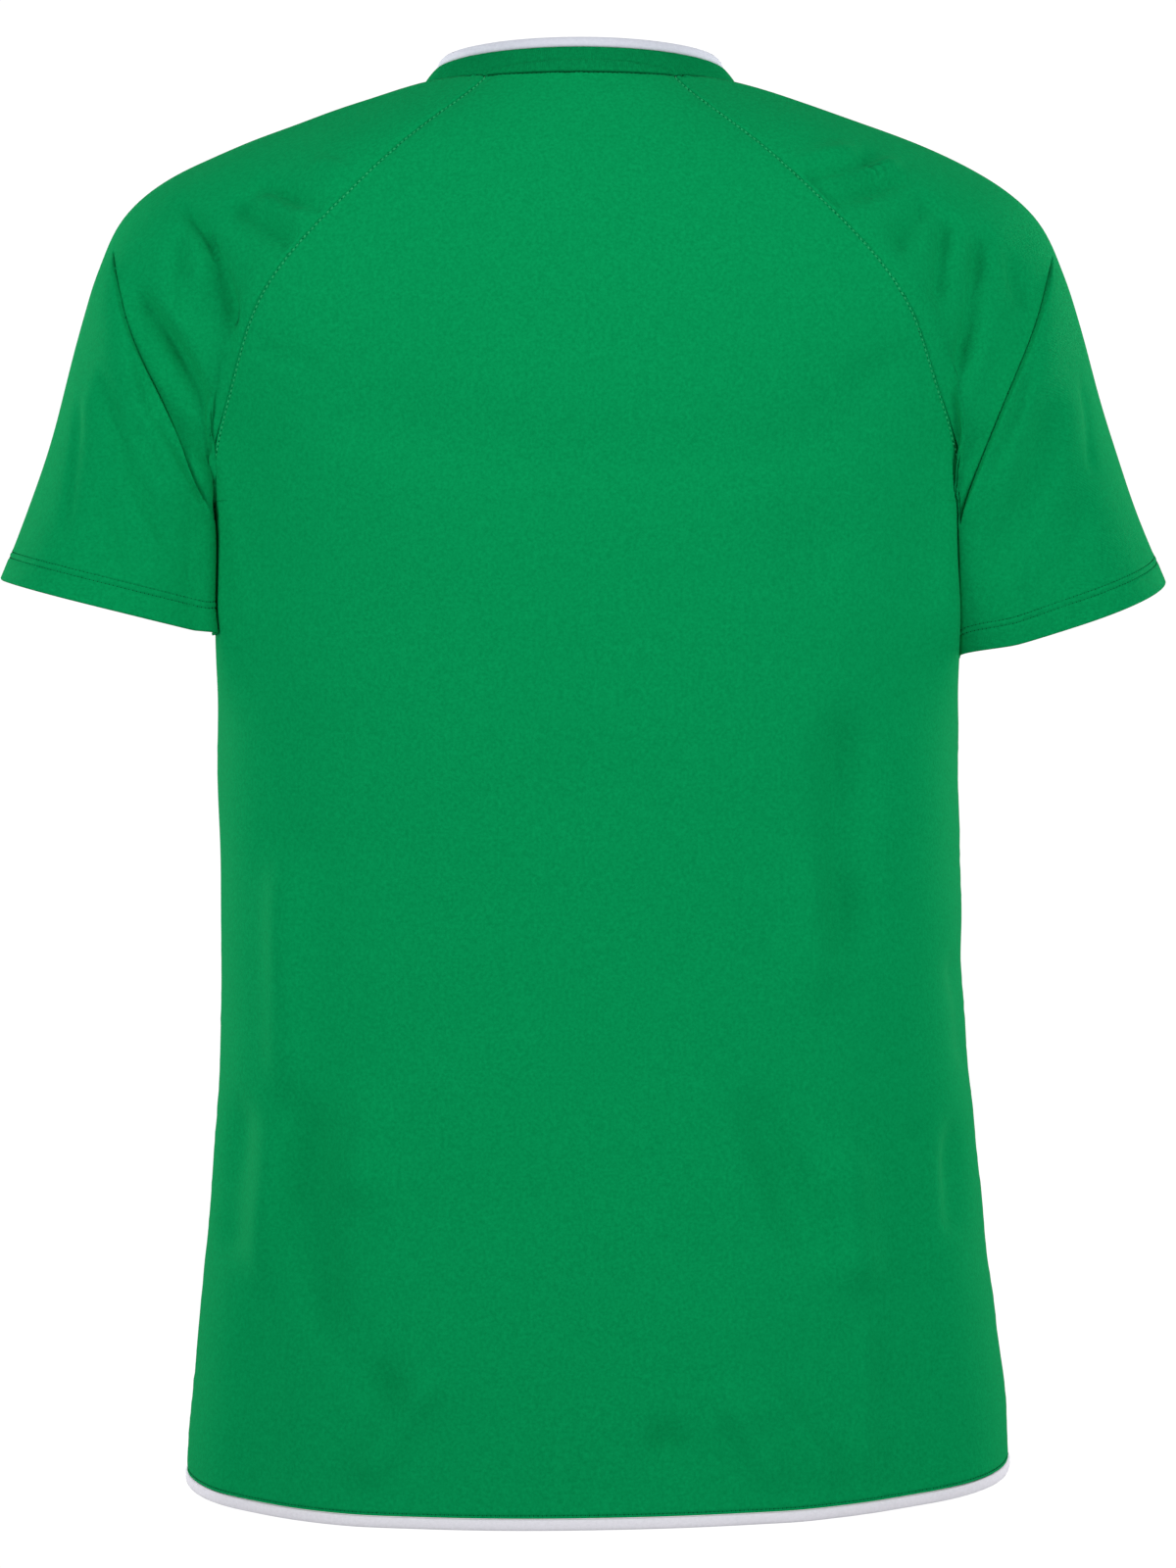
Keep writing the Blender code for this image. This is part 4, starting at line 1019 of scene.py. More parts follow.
LAP_SLOT = 0.0042         # under the lip the cloth turns back this deep, in a slot
LAP_SLOT_WIDE = (0.00028, 0.00040)    # half as wide at the top of the line, at its foot
LAP_START = 0.06          # a lap begins within this share of its length
LAP_FADE = 0.16           # and its lip is full only after this share
LAP_POWER = 1.5           # rise and dip fall off with this power of the distance,
LAP_REACH = 3.0           # and are read up to so many times their reach away
LAP_FACING_STEEP = 3.0    # a lap fades where the cloth turns away, like a crease but later
LAP_STEPS = 2 * CREASE_STEPS


def lap_moves(name, points, face):
    """Lift along the normal and slip sideways, in x and z, that the laps give."""
    lift = np.zeros(len(points))
    slip = np.zeros((len(points), 3))
    place = points[:, (0, 2)]
    for _, lap in rows_for(name, LAPS, LAP_COLUMNS):
        line = smooth_line(lap["points"], LAP_STEPS)
        side = np.sign(lap["points"][0][0])
        reach = LAP_REACH * max(lap["reach_out"], lap["reach_in"])
        near = near_line(place, line, reach) & (lap["facing"] * face[:, 1] > 0.0)
        share, off = beside_line(place[near], line)
        out = off * side
        seen = smooth_step(LAP_FACING_STEEP * lap["facing"] * face[near, 1])
        full = smooth_step(share / LAP_FADE) * smooth_step((1.0 - share) / LAP_START) * seen
        slot_wide = np.interp(share, (0.0, 1.0), LAP_SLOT_WIDE)
        slot = (LAP_SLOT * bell(out, slot_wide) * seen
                * smooth_step(share / LAP_START) * smooth_step((1.0 - share) / LAP_START))
        inside = np.clip(LAP_ROUND - out, 0.0, LAP_ROUND)
        rounding = LAP_ROUND - np.sqrt(LAP_ROUND ** 2 - inside ** 2)
        outer = lap["rise"] * np.exp(-(np.abs(out) / lap["reach_out"]) ** LAP_POWER) - rounding
        inner = -lap["dip"] * np.exp(-(np.abs(out) / lap["reach_in"]) ** LAP_POWER)
        lift[near] += np.where(out > 0.0, outer, inner) * full - slot
        bend = np.diff(line, axis=0).mean(axis=0)
        bend /= np.linalg.norm(bend)
        inward = np.array([bend[1], 0.0, -bend[0]]) * side
        drag = LAP_SLIP * full * bell(out, LAP_SLIP_REACH) * (out > 0.0)
        slip[near] += inward * drag[:, None]
    return lift, slip


print("lapped folds:", len(LAPS))

# %% [markdown]
# ## Reading the form between its points
#
# The grids are even, but the cloth needs points where its details are: close together at
# a seam, far apart on a plain stretch.  So a form is treated as a smooth sheet that can
# be read at any row and column, also between them, with weights from four points each
# way.  Next to the place and its outward direction, every point knows how far it lies
# from the edges of its piece, measured on the cloth as with a tape.

# %% One sheet of readings for each piece
SIDE, START, END = 6, 7, 8    # after place and direction: length to the side, first and last row


def edge_lengths(grid, closed):
    """Length on the cloth to the nearer side, to the first row and to the last row."""
    if closed:
        around = lengths_along(closed_ring(grid), 1)
        side = np.minimum(around[:, :-1], around[:, -1:] - around[:, :-1])
    else:
        around = lengths_along(grid, 1)
        side = np.minimum(around, around[:, -1:] - around)
    down = lengths_along(grid, 0)
    return np.stack([side, down, down[-1:] - down], axis=-1)


def with_border(values, closed):
    """The readings with spare rows and columns all round, for reading at the edges."""
    values = np.pad(values, ((1, 2), (0, 0), (0, 0)), mode="reflect", reflect_type="odd")
    if closed:
        return np.pad(values, ((0, 0), (1, 3), (0, 0)), mode="wrap")
    return np.pad(values, ((0, 0), (1, 2), (0, 0)), mode="reflect", reflect_type="odd")


def cubic_weights(t):
    return 0.5 * np.stack([-t + 2 * t ** 2 - t ** 3, 2 - 5 * t ** 2 + 3 * t ** 3,
                           t + 4 * t ** 2 - 3 * t ** 3, t ** 3 - t ** 2])


def read(name, row, col):
    """The readings of a piece at rows and columns that need not be whole numbers."""
    values = READINGS[name]
    r = np.clip(np.floor(row).astype(int), 0, values.shape[0] - 4)
    c = np.clip(np.floor(col).astype(int), 0, values.shape[1] - 4)
    down = cubic_weights(row - r)
    across = cubic_weights(col - c)
    total = 0.0
    for i in range(4):
        for j in range(4):
            total = total + (down[i] * across[j])[:, None] * values[r + i, c + j]
    total[:, 3:6] = unit(total[:, 3:6])
    return total


LENGTHS = {name: edge_lengths(grid, name in SLEEVES) for name, (grid, face) in cloth.items()}
READINGS = {name: with_border(np.concatenate([grid, face, LENGTHS[name]], axis=-1),
                              name in SLEEVES)
            for name, (grid, face) in cloth.items()}
for name in READINGS:
    print(name, "girth or width up to", round(2.0 * float(LENGTHS[name][..., 0].max()), 4))

# %% [markdown]
# ## How the cloth hangs and how its edges are sewn
#
# The hang adds up all that moves the cloth: creases, laps and a faint unevenness that
# no worn shirt is without.  All of it dies out at a seam, where two pieces share a line.
# Then come the sewn edges.  At a seam both edges roll in, which leaves the thin dark
# line.  A stitched row presses a shallow groove.  A sleeve's hem is turned up double, so
# it stands a little proud up to its stitching, and its edge is round.

# %% The hang of a piece
RIPPLE_LIFT = 0.00045     # the faint unevenness of plain cloth
RIPPLE_LENGTHS = (0.045, 0.140)       # from wave to wave
PUCKER_LIFT = 0.00020     # small puckers where a seam is stitched
PUCKER_LENGTHS = (0.006, 0.011)
PUCKER_REACH = 0.0045
PUCKER_SEED = 7
SEAM_HOLD = 0.0045        # creases die out within this distance of a seam
WAVES = 14                # so many are added up,
LAST_PHASE = 6.3          # each one starting anywhere in a whole turn


def waves(points, lengths, seed):
    """Gentle waves in all directions, between about -1 and 1."""
    chance = np.random.default_rng(seed)
    total = np.zeros(len(points))
    for k in range(WAVES):
        way = chance.normal(size=3)
        way /= np.linalg.norm(way)
        length = chance.uniform(*lengths)
        total += np.sin(2.0 * math.pi * (points @ way) / length + chance.uniform(0.0, LAST_PHASE))
    return total / math.sqrt(WAVES)


def hang(name, row, col):
    """Place, outward direction and edge lengths of a piece, with its creases."""
    values = read(name, row, col)
    point, face = values[:, :3], values[:, 3:6]
    seam = np.minimum(values[:, SIDE], values[:, END])
    if name in SLEEVES:
        seam = values[:, START]
    held = smooth_step(seam / SEAM_HOLD)
    lift = crease_lift(name, point, face)
    lap, slip = lap_moves(name, point, face)
    lift += lap + RIPPLE_LIFT * waves(point, RIPPLE_LENGTHS, sorted(cloth).index(name))
    pucker = bell(seam - PUCKER_REACH, PUCKER_REACH) * PUCKER_LIFT
    lift = lift * held + pucker * waves(point, PUCKER_LENGTHS, PUCKER_SEED)
    return point + face * lift[:, None] + slip * held[:, None], values


print("waves in the cloth:", RIPPLE_LENGTHS, "m long")

# %% Sewn edges
SEAM_DEPTH = 0.00050      # both edges of a raglan seam roll in this deep,
SIDE_SEAM_DEPTH = 0.00030 # those of a plain seam less,
NECK_SEAM_DEPTH = 0.00090 # and the pieces sewn to the collar more,
SEAM_ROLL = 0.0008        # within about this distance
TOPSTITCH_OFF = 0.0013    # the stitches beside a raglan seam lie this far from it
CUFF_ROWS = (0.0122, 0.0153)          # the two stitched rows of a sleeve's hem
CUFF_FOLD = 0.0168        # the turned hem reaches this far up
CUFF_PROUD = 0.00040      # and is this much thicker,
CUFF_EASE = 0.0010        # with an edge this soft
CUFF_ROUND = 0.0011       # the fold at the cuff's edge is round
HEM_ROW = 0.0014          # the stitched row above the white binding
HEM_LIP_ROUND = 0.0005    # the panel's edge is rounded towards the binding
ROW_PRESS = 0.00055       # a stitched row presses this deep
ROW_WIDE = 0.00065        # and this far to both sides
ROW_NECK_FREE = 0.0040    # the groove beside a raglan seam dies out this near to the collar


def rounded_edge(length, radius):
    """How far a round edge falls back at a length from the edge."""
    inside = np.clip(radius - length, 0.0, radius)
    return radius - np.sqrt(np.clip(radius ** 2 - inside ** 2, 0.0, None))


def pressed(length, at):
    return ROW_PRESS * bell(length - at, ROW_WIDE)


def sewn(name, row, col):
    """The finished outer face of a piece at any rows and columns."""
    point, values = hang(name, row, col)
    side, start, end = values[:, SIDE], values[:, START], values[:, END]
    if name in SLEEVES:
        neck = smooth_step(col - RAGLAN_STEPS) * smooth_step(RAGLAN_STEPS + NECK_STEPS - col)
        depth = SEAM_DEPTH + (NECK_SEAM_DEPTH - SEAM_DEPTH) * neck
        lift = -depth * bell(start, SEAM_ROLL) - SIDE_SEAM_DEPTH * bell(side, SEAM_ROLL)
        lift += CUFF_PROUD * smooth_step((CUFF_FOLD - end) / CUFF_EASE)
        lift -= sum(pressed(end, at) for at in CUFF_ROWS) + rounded_edge(end, CUFF_ROUND)
    else:
        raglan = smooth_step(row - BODY_ROWS)
        depth = SIDE_SEAM_DEPTH + (SEAM_DEPTH - SIDE_SEAM_DEPTH) * raglan
        lift = -np.maximum(depth * bell(side, SEAM_ROLL), NECK_SEAM_DEPTH * bell(end, SEAM_ROLL))
        lift -= pressed(side, TOPSTITCH_OFF) * raglan * smooth_step(end / ROW_NECK_FREE)
        lift -= pressed(start, HEM_ROW) + rounded_edge(start, HEM_LIP_ROUND)
    return point + values[:, 3:6] * lift[:, None]


print("cuff rows at", CUFF_ROWS, "m above the edge")

# %% [markdown]
# ## Materials
#
# The body is a fine polyester interlock: matt, with a soft pale sheen where it turns
# away, and so fine that its stitches read as grain.  A flat colour would look like
# plastic.  So the green is mixed from two close shades by a fine grain, drifts a little
# over larger patches, and a bump of knitted columns follows the cloth's own map.

# %% Sums and mixes of shader nodes
def maths(tree, operation, a, b):
    """A Math node fed by sockets or plain numbers."""
    node = add_node(tree, "ShaderNodeMath", operation=operation)
    for entry, value in enumerate((a, b)):
        if isinstance(value, (int, float)):
            node.inputs[entry].default_value = value
        else:
            tree.links.new(value, node.inputs[entry])
    return node.outputs[0]


def wave(tree, value, length):
    """A sine wave of a value, from crest to crest in a length."""
    return maths(tree, "SINE", maths(tree, "MULTIPLY", value, 2.0 * math.pi / length), 0.0)


def mixed(tree, factor, first, second):
    """A colour between two, each a plain colour or a socket."""
    node = add_node(tree, "ShaderNodeMix", data_type="RGBA")
    tree.links.new(factor, node.inputs["Factor"])
    for entry, value in ((6, first), (7, second)):
        if isinstance(value, tuple):
            node.inputs[entry].default_value = value + (1.0,)
        else:
            tree.links.new(value, node.inputs[entry])
    return node.outputs[2]


# %% Knitted cloth and thread
SHEEN_ROUGHNESS = 0.45
SPECULAR = 0.005          # knitted cloth hardly mirrors
GRAIN = 0.0016            # size of the grain that the stitches make
GRAIN_SPREAD = 0.20       # the grain runs from dark to light within this much of its middle
PATCH = 0.10              # size of the patches over which the colour drifts
WALE = 0.0010             # width of a knitted column
COURSE = 0.0008           # height of a knitted row
SLANT = 0.5               # the loops lean by this much of their height,
COURSE_SHARE = 0.5        # the rows are this high beside the columns,
KNIT_SHARE = 0.25         # and both this high beside the grain
BUMP_STRENGTH = 0.6
MATERIAL_COLUMNS = ("dark", "light", "drift", "roughness", "sheen", "bump")
MATERIALS = {
    "interlock_green": ((0.0010, 0.232, 0.068), (0.0022, 0.308, 0.094), (0.0018, 0.290, 0.088),
                        0.80, 0.006, 0.00020),
    "rib_green": ((0.0010, 0.180, 0.053), (0.0018, 0.250, 0.075), (0.0014, 0.235, 0.070),
                  0.82, 0.006, 0.00012),
    # the collar's white is the binding's white painted darker: a painted shade, for its edge catching
    # less light than the hem
    "trim_white": ((0.58, 0.60, 0.68), (0.66, 0.68, 0.75), (0.63, 0.65, 0.73),
                   0.75, 0.02, 0.00012),
    "binding_white": ((0.76, 0.75, 0.81), (0.84, 0.83, 0.89), (0.80, 0.79, 0.86),
                      0.75, 0.02, 0.00012),
    # green thread painted lighter than the cloth: a painted highlight for the light that the raised
    # stitches catch
    "green_thread_painted_highlight": ((0.015, 0.360, 0.130), (0.030, 0.440, 0.170), (0.020, 0.400, 0.150),
                     0.50, 0.10, 0.00004),
    # green thread painted darker than the cloth: a painted shade for the shade in the stitched rows
    "deep_thread_painted_shade": ((0.001, 0.150, 0.046), (0.002, 0.210, 0.064), (0.0015, 0.180, 0.055),
                          0.60, 0.02, 0.00004),
    # nearly black: a painted shade for the shadow inside a needle hole
    "needle_hole_painted_shade": ((0.001, 0.030, 0.010), (0.001, 0.050, 0.016), (0.001, 0.040, 0.013),
                         0.90, 0.0, 0.00004),
}
KNITTED = ("interlock_green",)        # these show their knitted columns and rows


def cloth_material(name):
    """A cloth or thread: two shades by a fine grain, a slow drift and a fine bump."""
    look = dict(zip(MATERIAL_COLUMNS, MATERIALS[name]))
    material = bpy.data.materials.new(name)
    material.use_nodes = True
    tree = material.node_tree
    surface = tree.nodes["Principled BSDF"]
    surface.inputs["Roughness"].default_value = look["roughness"]
    surface.inputs["Sheen Weight"].default_value = look["sheen"]
    surface.inputs["Sheen Roughness"].default_value = SHEEN_ROUGHNESS
    surface.inputs["Specular IOR Level"].default_value = SPECULAR
    where = add_node(tree, "ShaderNodeTexCoord")
    grain = add_node(tree, "ShaderNodeTexNoise", scale=1.0 / GRAIN, detail=2.0, roughness=0.7)
    patch = add_node(tree, "ShaderNodeTexNoise", scale=1.0 / PATCH, detail=3.0, roughness=0.5)
    for texture in (grain, patch):
        join(tree, where, "Object", texture, "Vector")
    speck = add_node(tree, "ShaderNodeMapRange",
                     from_min=0.5 - GRAIN_SPREAD, from_max=0.5 + GRAIN_SPREAD)
    join(tree, grain, "Fac", speck, "Value")
    drifted = mixed(tree, patch.outputs["Fac"], look["light"], look["drift"])
    shade = mixed(tree, speck.outputs["Result"], look["dark"], drifted)
    tree.links.new(shade, surface.inputs["Base Color"])
    height = grain.outputs["Fac"]
    if name in KNITTED:
        cloth_map = add_node(tree, "ShaderNodeUVMap", uv_map="knit")
        parts = add_node(tree, "ShaderNodeSeparateXYZ")
        join(tree, cloth_map, "UV", parts, "Vector")
        loops = maths(tree, "PINGPONG", parts.outputs["Y"], COURSE)
        across = maths(tree, "ADD", parts.outputs["X"], maths(tree, "MULTIPLY", loops, SLANT))
        column_wave = wave(tree, across, WALE)
        row_wave = wave(tree, parts.outputs["Y"], COURSE)
        knit = maths(tree, "ADD", column_wave, maths(tree, "MULTIPLY", row_wave, COURSE_SHARE))
        height = maths(tree, "ADD", height, maths(tree, "MULTIPLY", knit, KNIT_SHARE))
    relief = add_node(tree, "ShaderNodeBump", strength=BUMP_STRENGTH, distance=look["bump"])
    tree.links.new(height, relief.inputs["Height"])
    join(tree, relief, "Normal", surface, "Normal")
    return material


fabrics = {name: cloth_material(name) for name in MATERIALS}
print("materials:", len([m for m in bpy.data.materials if m.use_nodes]))

# %% [markdown]
# ## From the form to cloth
#
# A mesh of cloth starts flat, as a chequered sheet of rows and columns.  Its lines are
# crowded at seams, hems and stitched rows, where a millimetre matters.  Near a lapped
# fold its squares are cut finer, which costs few faces, since nothing else needs them.
# Only then is each point moved to its place on the sewn form.  A Solidify modifier gives
# the cloth its thickness.

# %% Lines of the sheet
SEAM_LINES = (0.0, 0.0004, 0.0009, 0.0013, 0.0018, 0.0026, 0.0038)
HEM_LINES = (0.0, 0.0002, 0.0005, 0.0009, 0.0013, 0.0016, 0.0020, 0.0025, 0.0034, 0.0050)
CUFF_LINES = (0.0, 0.0002, 0.0005, 0.0009, 0.0014, 0.0030, 0.0060, 0.0095, 0.0112, 0.0117,
              0.0122, 0.0127, 0.0133, 0.0143, 0.0148, 0.0153, 0.0158, 0.0163, 0.0169, 0.0190)
UNDERARM_LINES = (0.0, 0.1, 0.2, 0.35, 0.5, 0.7, 0.9, 1.15, 1.4, 1.65, 1.9, 2.2, 2.5, 2.8, 3.1,
                  3.45, 3.8, 4.2, 4.6, 5.0, 5.5, 6.0, 6.5, 7.1, 7.8)  # in columns of the form
UNDERARM_SPAN = 16        # columns of the form that these lines stand for, on both sides
ARMPIT_LINES = (-1.5, -0.8, -0.3, 0.0, 0.15, 0.3, 0.5, 0.7, 0.85, 1.0, 1.2, 1.4, 1.7, 2.0, 2.3,
                2.7, 3.1, 3.5, 4.0, 4.5, 5.0, 5.5, 6.1, 6.8, 7.6)     # in rows from the armpit
ARMPIT_FREE = 0.3         # no other row comes as near as this to one of these
PLAIN_SPACING = 0.0042    # distance of the lines on a plain stretch


def crowded(length, first, last, count):
    """Places along a length: the first lines, an even stretch, and the last lines."""
    length = np.asarray(length, dtype=float)[..., None]
    first = np.broadcast_to(np.array(first), length.shape[:-1] + (len(first),))
    last = length - np.array(last)[::-1]
    share = np.linspace(0.0, 1.0, count + 2)[1:-1]
    middle = first[..., -1:] + (last[..., :1] - first[..., -1:]) * share
    return np.concatenate([first, middle, last], axis=-1)


def between(values, place):
    """Reads rows of values at a place that need not be a whole number."""
    low = np.clip(np.floor(place).astype(int), 0, len(values) - 2)
    part = (place - low)[:, None]
    return values[low] * (1.0 - part) + values[low + 1] * part


def steps_at(lengths, wanted):
    """Where each line of the form reaches a wanted length, counted in its steps."""
    steps = np.arange(lengths.shape[1])
    return np.array([np.interp(want, run, steps) for want, run in zip(wanted, lengths)])


def panel_lines(name):
    """Rows and columns of the sheet of a panel."""
    grid = cloth[name][0]
    up = lengths_along(grid, 0)[:, PANEL_STEPS // 2]
    count = int((up[-1] - HEM_LINES[-1] - SEAM_LINES[-1]) / PLAIN_SPACING)
    rows = np.interp(crowded(up[-1], HEM_LINES, SEAM_LINES, count), up, np.arange(len(up)))
    armpit = BODY_ROWS + np.array(ARMPIT_LINES)
    apart = np.abs(rows[:, None] - armpit[None]).min(axis=1) > ARMPIT_FREE
    rows = np.sort(np.concatenate([rows[apart | (rows < 1.0)], armpit]))
    across = between(lengths_along(grid, 1), rows)
    count = int(across[:, -1].max() / PLAIN_SPACING)
    cols = steps_at(across, crowded(across[:, -1], SEAM_LINES, SEAM_LINES, count))
    return np.broadcast_to(rows[:, None], cols.shape), cols


def sleeve_lines(name):
    """Rows and columns of the sheet of a sleeve, which closes at the underarm."""
    grid = cloth[name][0]
    around = grid.shape[1]
    cols = crowded(float(around), UNDERARM_LINES, UNDERARM_LINES, around - UNDERARM_SPAN)
    down = between(lengths_along(closed_ring(grid), 0).T, cols)
    count = int((down[:, -1].max() - CUFF_LINES[-1] - SEAM_LINES[-1]) / PLAIN_SPACING)
    rows = steps_at(down, crowded(down[:, -1], SEAM_LINES, CUFF_LINES, count)).T
    return rows, np.broadcast_to(cols[None, :], rows.shape)


sheets = {name: panel_lines(name) for name in PANELS}
sheets.update({name: sleeve_lines(name) for name in SLEEVES})
for name, (rows, cols) in sheets.items():
    print(name, "has a sheet of", rows.shape[0], "by", rows.shape[1], "lines")

# %% Cut the sheet finer near the lapped folds
FINER_COLUMNS = ("reach", "longest", "cuts")
FINER = (                 # in turn: within this reach of a lap, edges longer than this are cut
    (0.0035, 0.00220, 2),
    (0.0014, 0.00130, 1),
    (0.0006, 0.00040, 2),
)
FINER_PAST_EDGE = 0.1     # also where the cloth has turned away from the lap's side by this much


def flat_sheet(name):
    """The sheet as a flat mesh: the row is x, the column is y."""
    rows, cols = sheets[name]
    flat = bmesh.new()
    count = rows.shape[1]
    points = [flat.verts.new((r, c, 0.0)) for r, c in zip(rows.ravel(), cols.ravel())]
    for r in range(rows.shape[0] - 1):
        for c in range(count - 1):
            k = r * count + c
            flat.faces.new((points[k], points[k + 1], points[k + count + 1], points[k + count]))
    return flat


def flat_places(flat):
    places = np.array([v.co[:2] for v in flat.verts])
    return places[:, 0], places[:, 1]


def gap_to_laps(name, values):
    """Distance of each point of a piece to the nearest lap on its own side."""
    gap = np.full(len(values), 1.0)
    place = values[:, (0, 2)]
    for _, lap in rows_for(name, LAPS, LAP_COLUMNS):
        line = smooth_line(lap["points"], LAP_STEPS)
        near = near_line(place, line, FINER[0][0])
        near &= lap["facing"] * values[:, 4] > -FINER_PAST_EDGE
        off = beside_line(place[near], line)[1]
        gap[near] = np.minimum(gap[near], np.abs(off))
    return gap


def cut_near_laps(name, flat):
    for row in FINER:
        rule = dict(zip(FINER_COLUMNS, row))
        values = read(name, *flat_places(flat))
        close = gap_to_laps(name, values) < rule["reach"]
        flat.verts.index_update()
        edges = list(flat.edges)
        ends = np.array([(edge.verts[0].index, edge.verts[1].index) for edge in edges])
        length = np.linalg.norm(values[ends[:, 0], :3] - values[ends[:, 1], :3], axis=1)
        chosen = close[ends].any(axis=1) & (length > rule["longest"])
        cut = [edges[k] for k in np.flatnonzero(chosen)]
        bmesh.ops.subdivide_edges(flat, edges=cut, cuts=rule["cuts"], use_grid_fill=True)
    flat.verts.index_update()


# %% Lay the sheet on the sewn form
CLOTH_THICK = 0.0012
WELD = 2e-6               # points of the underarm seam that are this close are one


def make_cloth(name, material):
    """One panel or sleeve as a thin shell of cloth."""
    flat = flat_sheet(name)
    if any(row[0] == name for row in LAPS):
        cut_near_laps(name, flat)
    row, col = flat_places(flat)
    points = sewn(name, row, col)
    values = read(name, row, col)
    width = 2.0 * LENGTHS[name][..., 0].max() / (PANEL_STEPS if name in PANELS else len(loop))
    knit_map = flat.loops.layers.uv.new("knit")
    for face in flat.faces:
        face.smooth = True
        for corner in face.loops:
            k = corner.vert.index
            corner[knit_map].uv = (col[k] * width, values[k, START])
    for vert, point in zip(flat.verts, points):
        vert.co = point
    if name in SLEEVES:
        bmesh.ops.remove_doubles(flat, verts=[v for v in flat.verts if v.is_boundary], dist=WELD)
    flat.normal_update()
    middle = points.mean(axis=0)
    outward = sum(f.normal.dot(f.calc_center_median() - type(f.normal)(middle)) * f.calc_area()
                  for f in flat.faces)
    if outward < 0.0:
        bmesh.ops.reverse_faces(flat, faces=flat.faces)
    mesh = bpy.data.meshes.new(name + "_cloth")
    flat.to_mesh(mesh)
    flat.free()
    mesh.materials.append(material)
    piece = add_object(name + "_cloth", mesh)
    thick = piece.modifiers.new("thickness", "SOLIDIFY")
    thick.offset = -1.0
    thick.thickness = CLOTH_THICK
    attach(piece, "root")
    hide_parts(name)
    return piece


pieces = {}
for name in cloth:
    pieces[name] = make_cloth(name, fabrics["interlock_green"])
    print(name, len(pieces[name].data.polygons), "faces before thickness")

# %% [markdown]
# ## The collar and the bindings
#
# The collar is a strip of rib, knitted in fine upright columns, with a narrow folded
# strip of white on its top edge.  The ribs are real relief here: a wave round the ring.
# At the back the seam allowance is pressed up behind the rib, so its lower part stands a
# little proud between the two raglan seams.  The white binding closes the hem: it hangs
# on the very line where the panels end, folds and all.

# %% A ring of cloth through its profile
def ring_object(name, rings, material, node):
    """A closed ring: each item of rings is one ring of points round the jersey."""
    rings = np.stack(rings)
    count, around = rings.shape[:2]
    k, c = np.meshgrid(np.arange(count), np.arange(around), indexing="ij")
    m, d = (k + 1) % count, (c + 1) % around
    faces = np.stack([k * around + c, k * around + d, m * around + d, m * around + c], axis=-1)
    mesh = bpy.data.meshes.new(name)
    mesh.from_pydata(rings.reshape(-1, 3).tolist(), [], faces.reshape(-1, 4).tolist())
    work = bmesh.new()
    work.from_mesh(mesh)
    if work.calc_volume(signed=True) < 0.0:
        bmesh.ops.reverse_faces(work, faces=work.faces)
    work.to_mesh(mesh)
    work.free()
    mesh.shade_smooth()
    mesh.materials.append(material)
    piece = add_object(name, mesh)
    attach(piece, "root")
    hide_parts(node)
    print(name, len(mesh.polygons), "faces")
    return piece


def collar_strip(lower, upper, angles):
    """Lower and upper line of a strip of the collar, and its outward direction."""
    low = shear(collar_ring(lower, angles))
    high = shear(collar_ring(upper, angles))
    rise = high - low
    tall = np.linalg.norm(rise, axis=1, keepdims=True)
    round_way = np.roll(low, -1, axis=0) - np.roll(low, 1, axis=0)
    face = unit(np.cross(rise / tall, round_way))
    face *= np.sign((face[:, :2] * (low - low.mean(axis=0))[:, :2]).sum())
    return low, high, face, tall


# %% The rib band
RIBS = 440
POINTS_A_RIB = 4
RIB_LIFT = 0.00017
RIB_LEFT = 0.35           # this share of a rib's height is left at both edges of the band,
RIB_FADE = (0.10, 0.08)   # and the rest fades within these shares of the band
BAND_WALL = 0.0020
BAND_CROWN = 0.0006
BAND_INSET = 0.01         # the band keeps off its lower and its upper line by this share
BAND_SHARES = (0.0, 0.03, 0.07, 0.12, 0.18, 0.25, 0.32, 0.37, 0.40, 0.42, 0.44, 0.46, 0.49,
               0.54, 0.62, 0.71, 0.80, 0.88, 0.94, 0.98, 1.0)
FOOT_DEPTH = 0.0007       # the band's foot rolls in this deep between the back neck corners,
FOOT_DEEPER = 0.0014      # and this much deeper past them,
FOOT_TURN = 4.0           # eased past a corner over its own angle divided by this
FOOT_ROLL = 0.0010        # and is this wide
TOP_DEPTH = 0.0005        # the band's top rolls in this deep
TOP_ROLL = 0.0008         # and is this wide
ALLOWANCE_HEIGHT = 0.0063 # the seam allowance behind the rib reaches this high,
ALLOWANCE_POWER = 0.6     # nearly as high up to both corners,
ALLOWANCE_LIFT = 0.00110  # and makes it stand this much proud
ALLOWANCE_EDGE = 0.0008
ALLOWANCE_GROOVE = 0.0008 # above it the rib is drawn in,
GROOVE_WIDE = 0.0006      # in a groove this wide

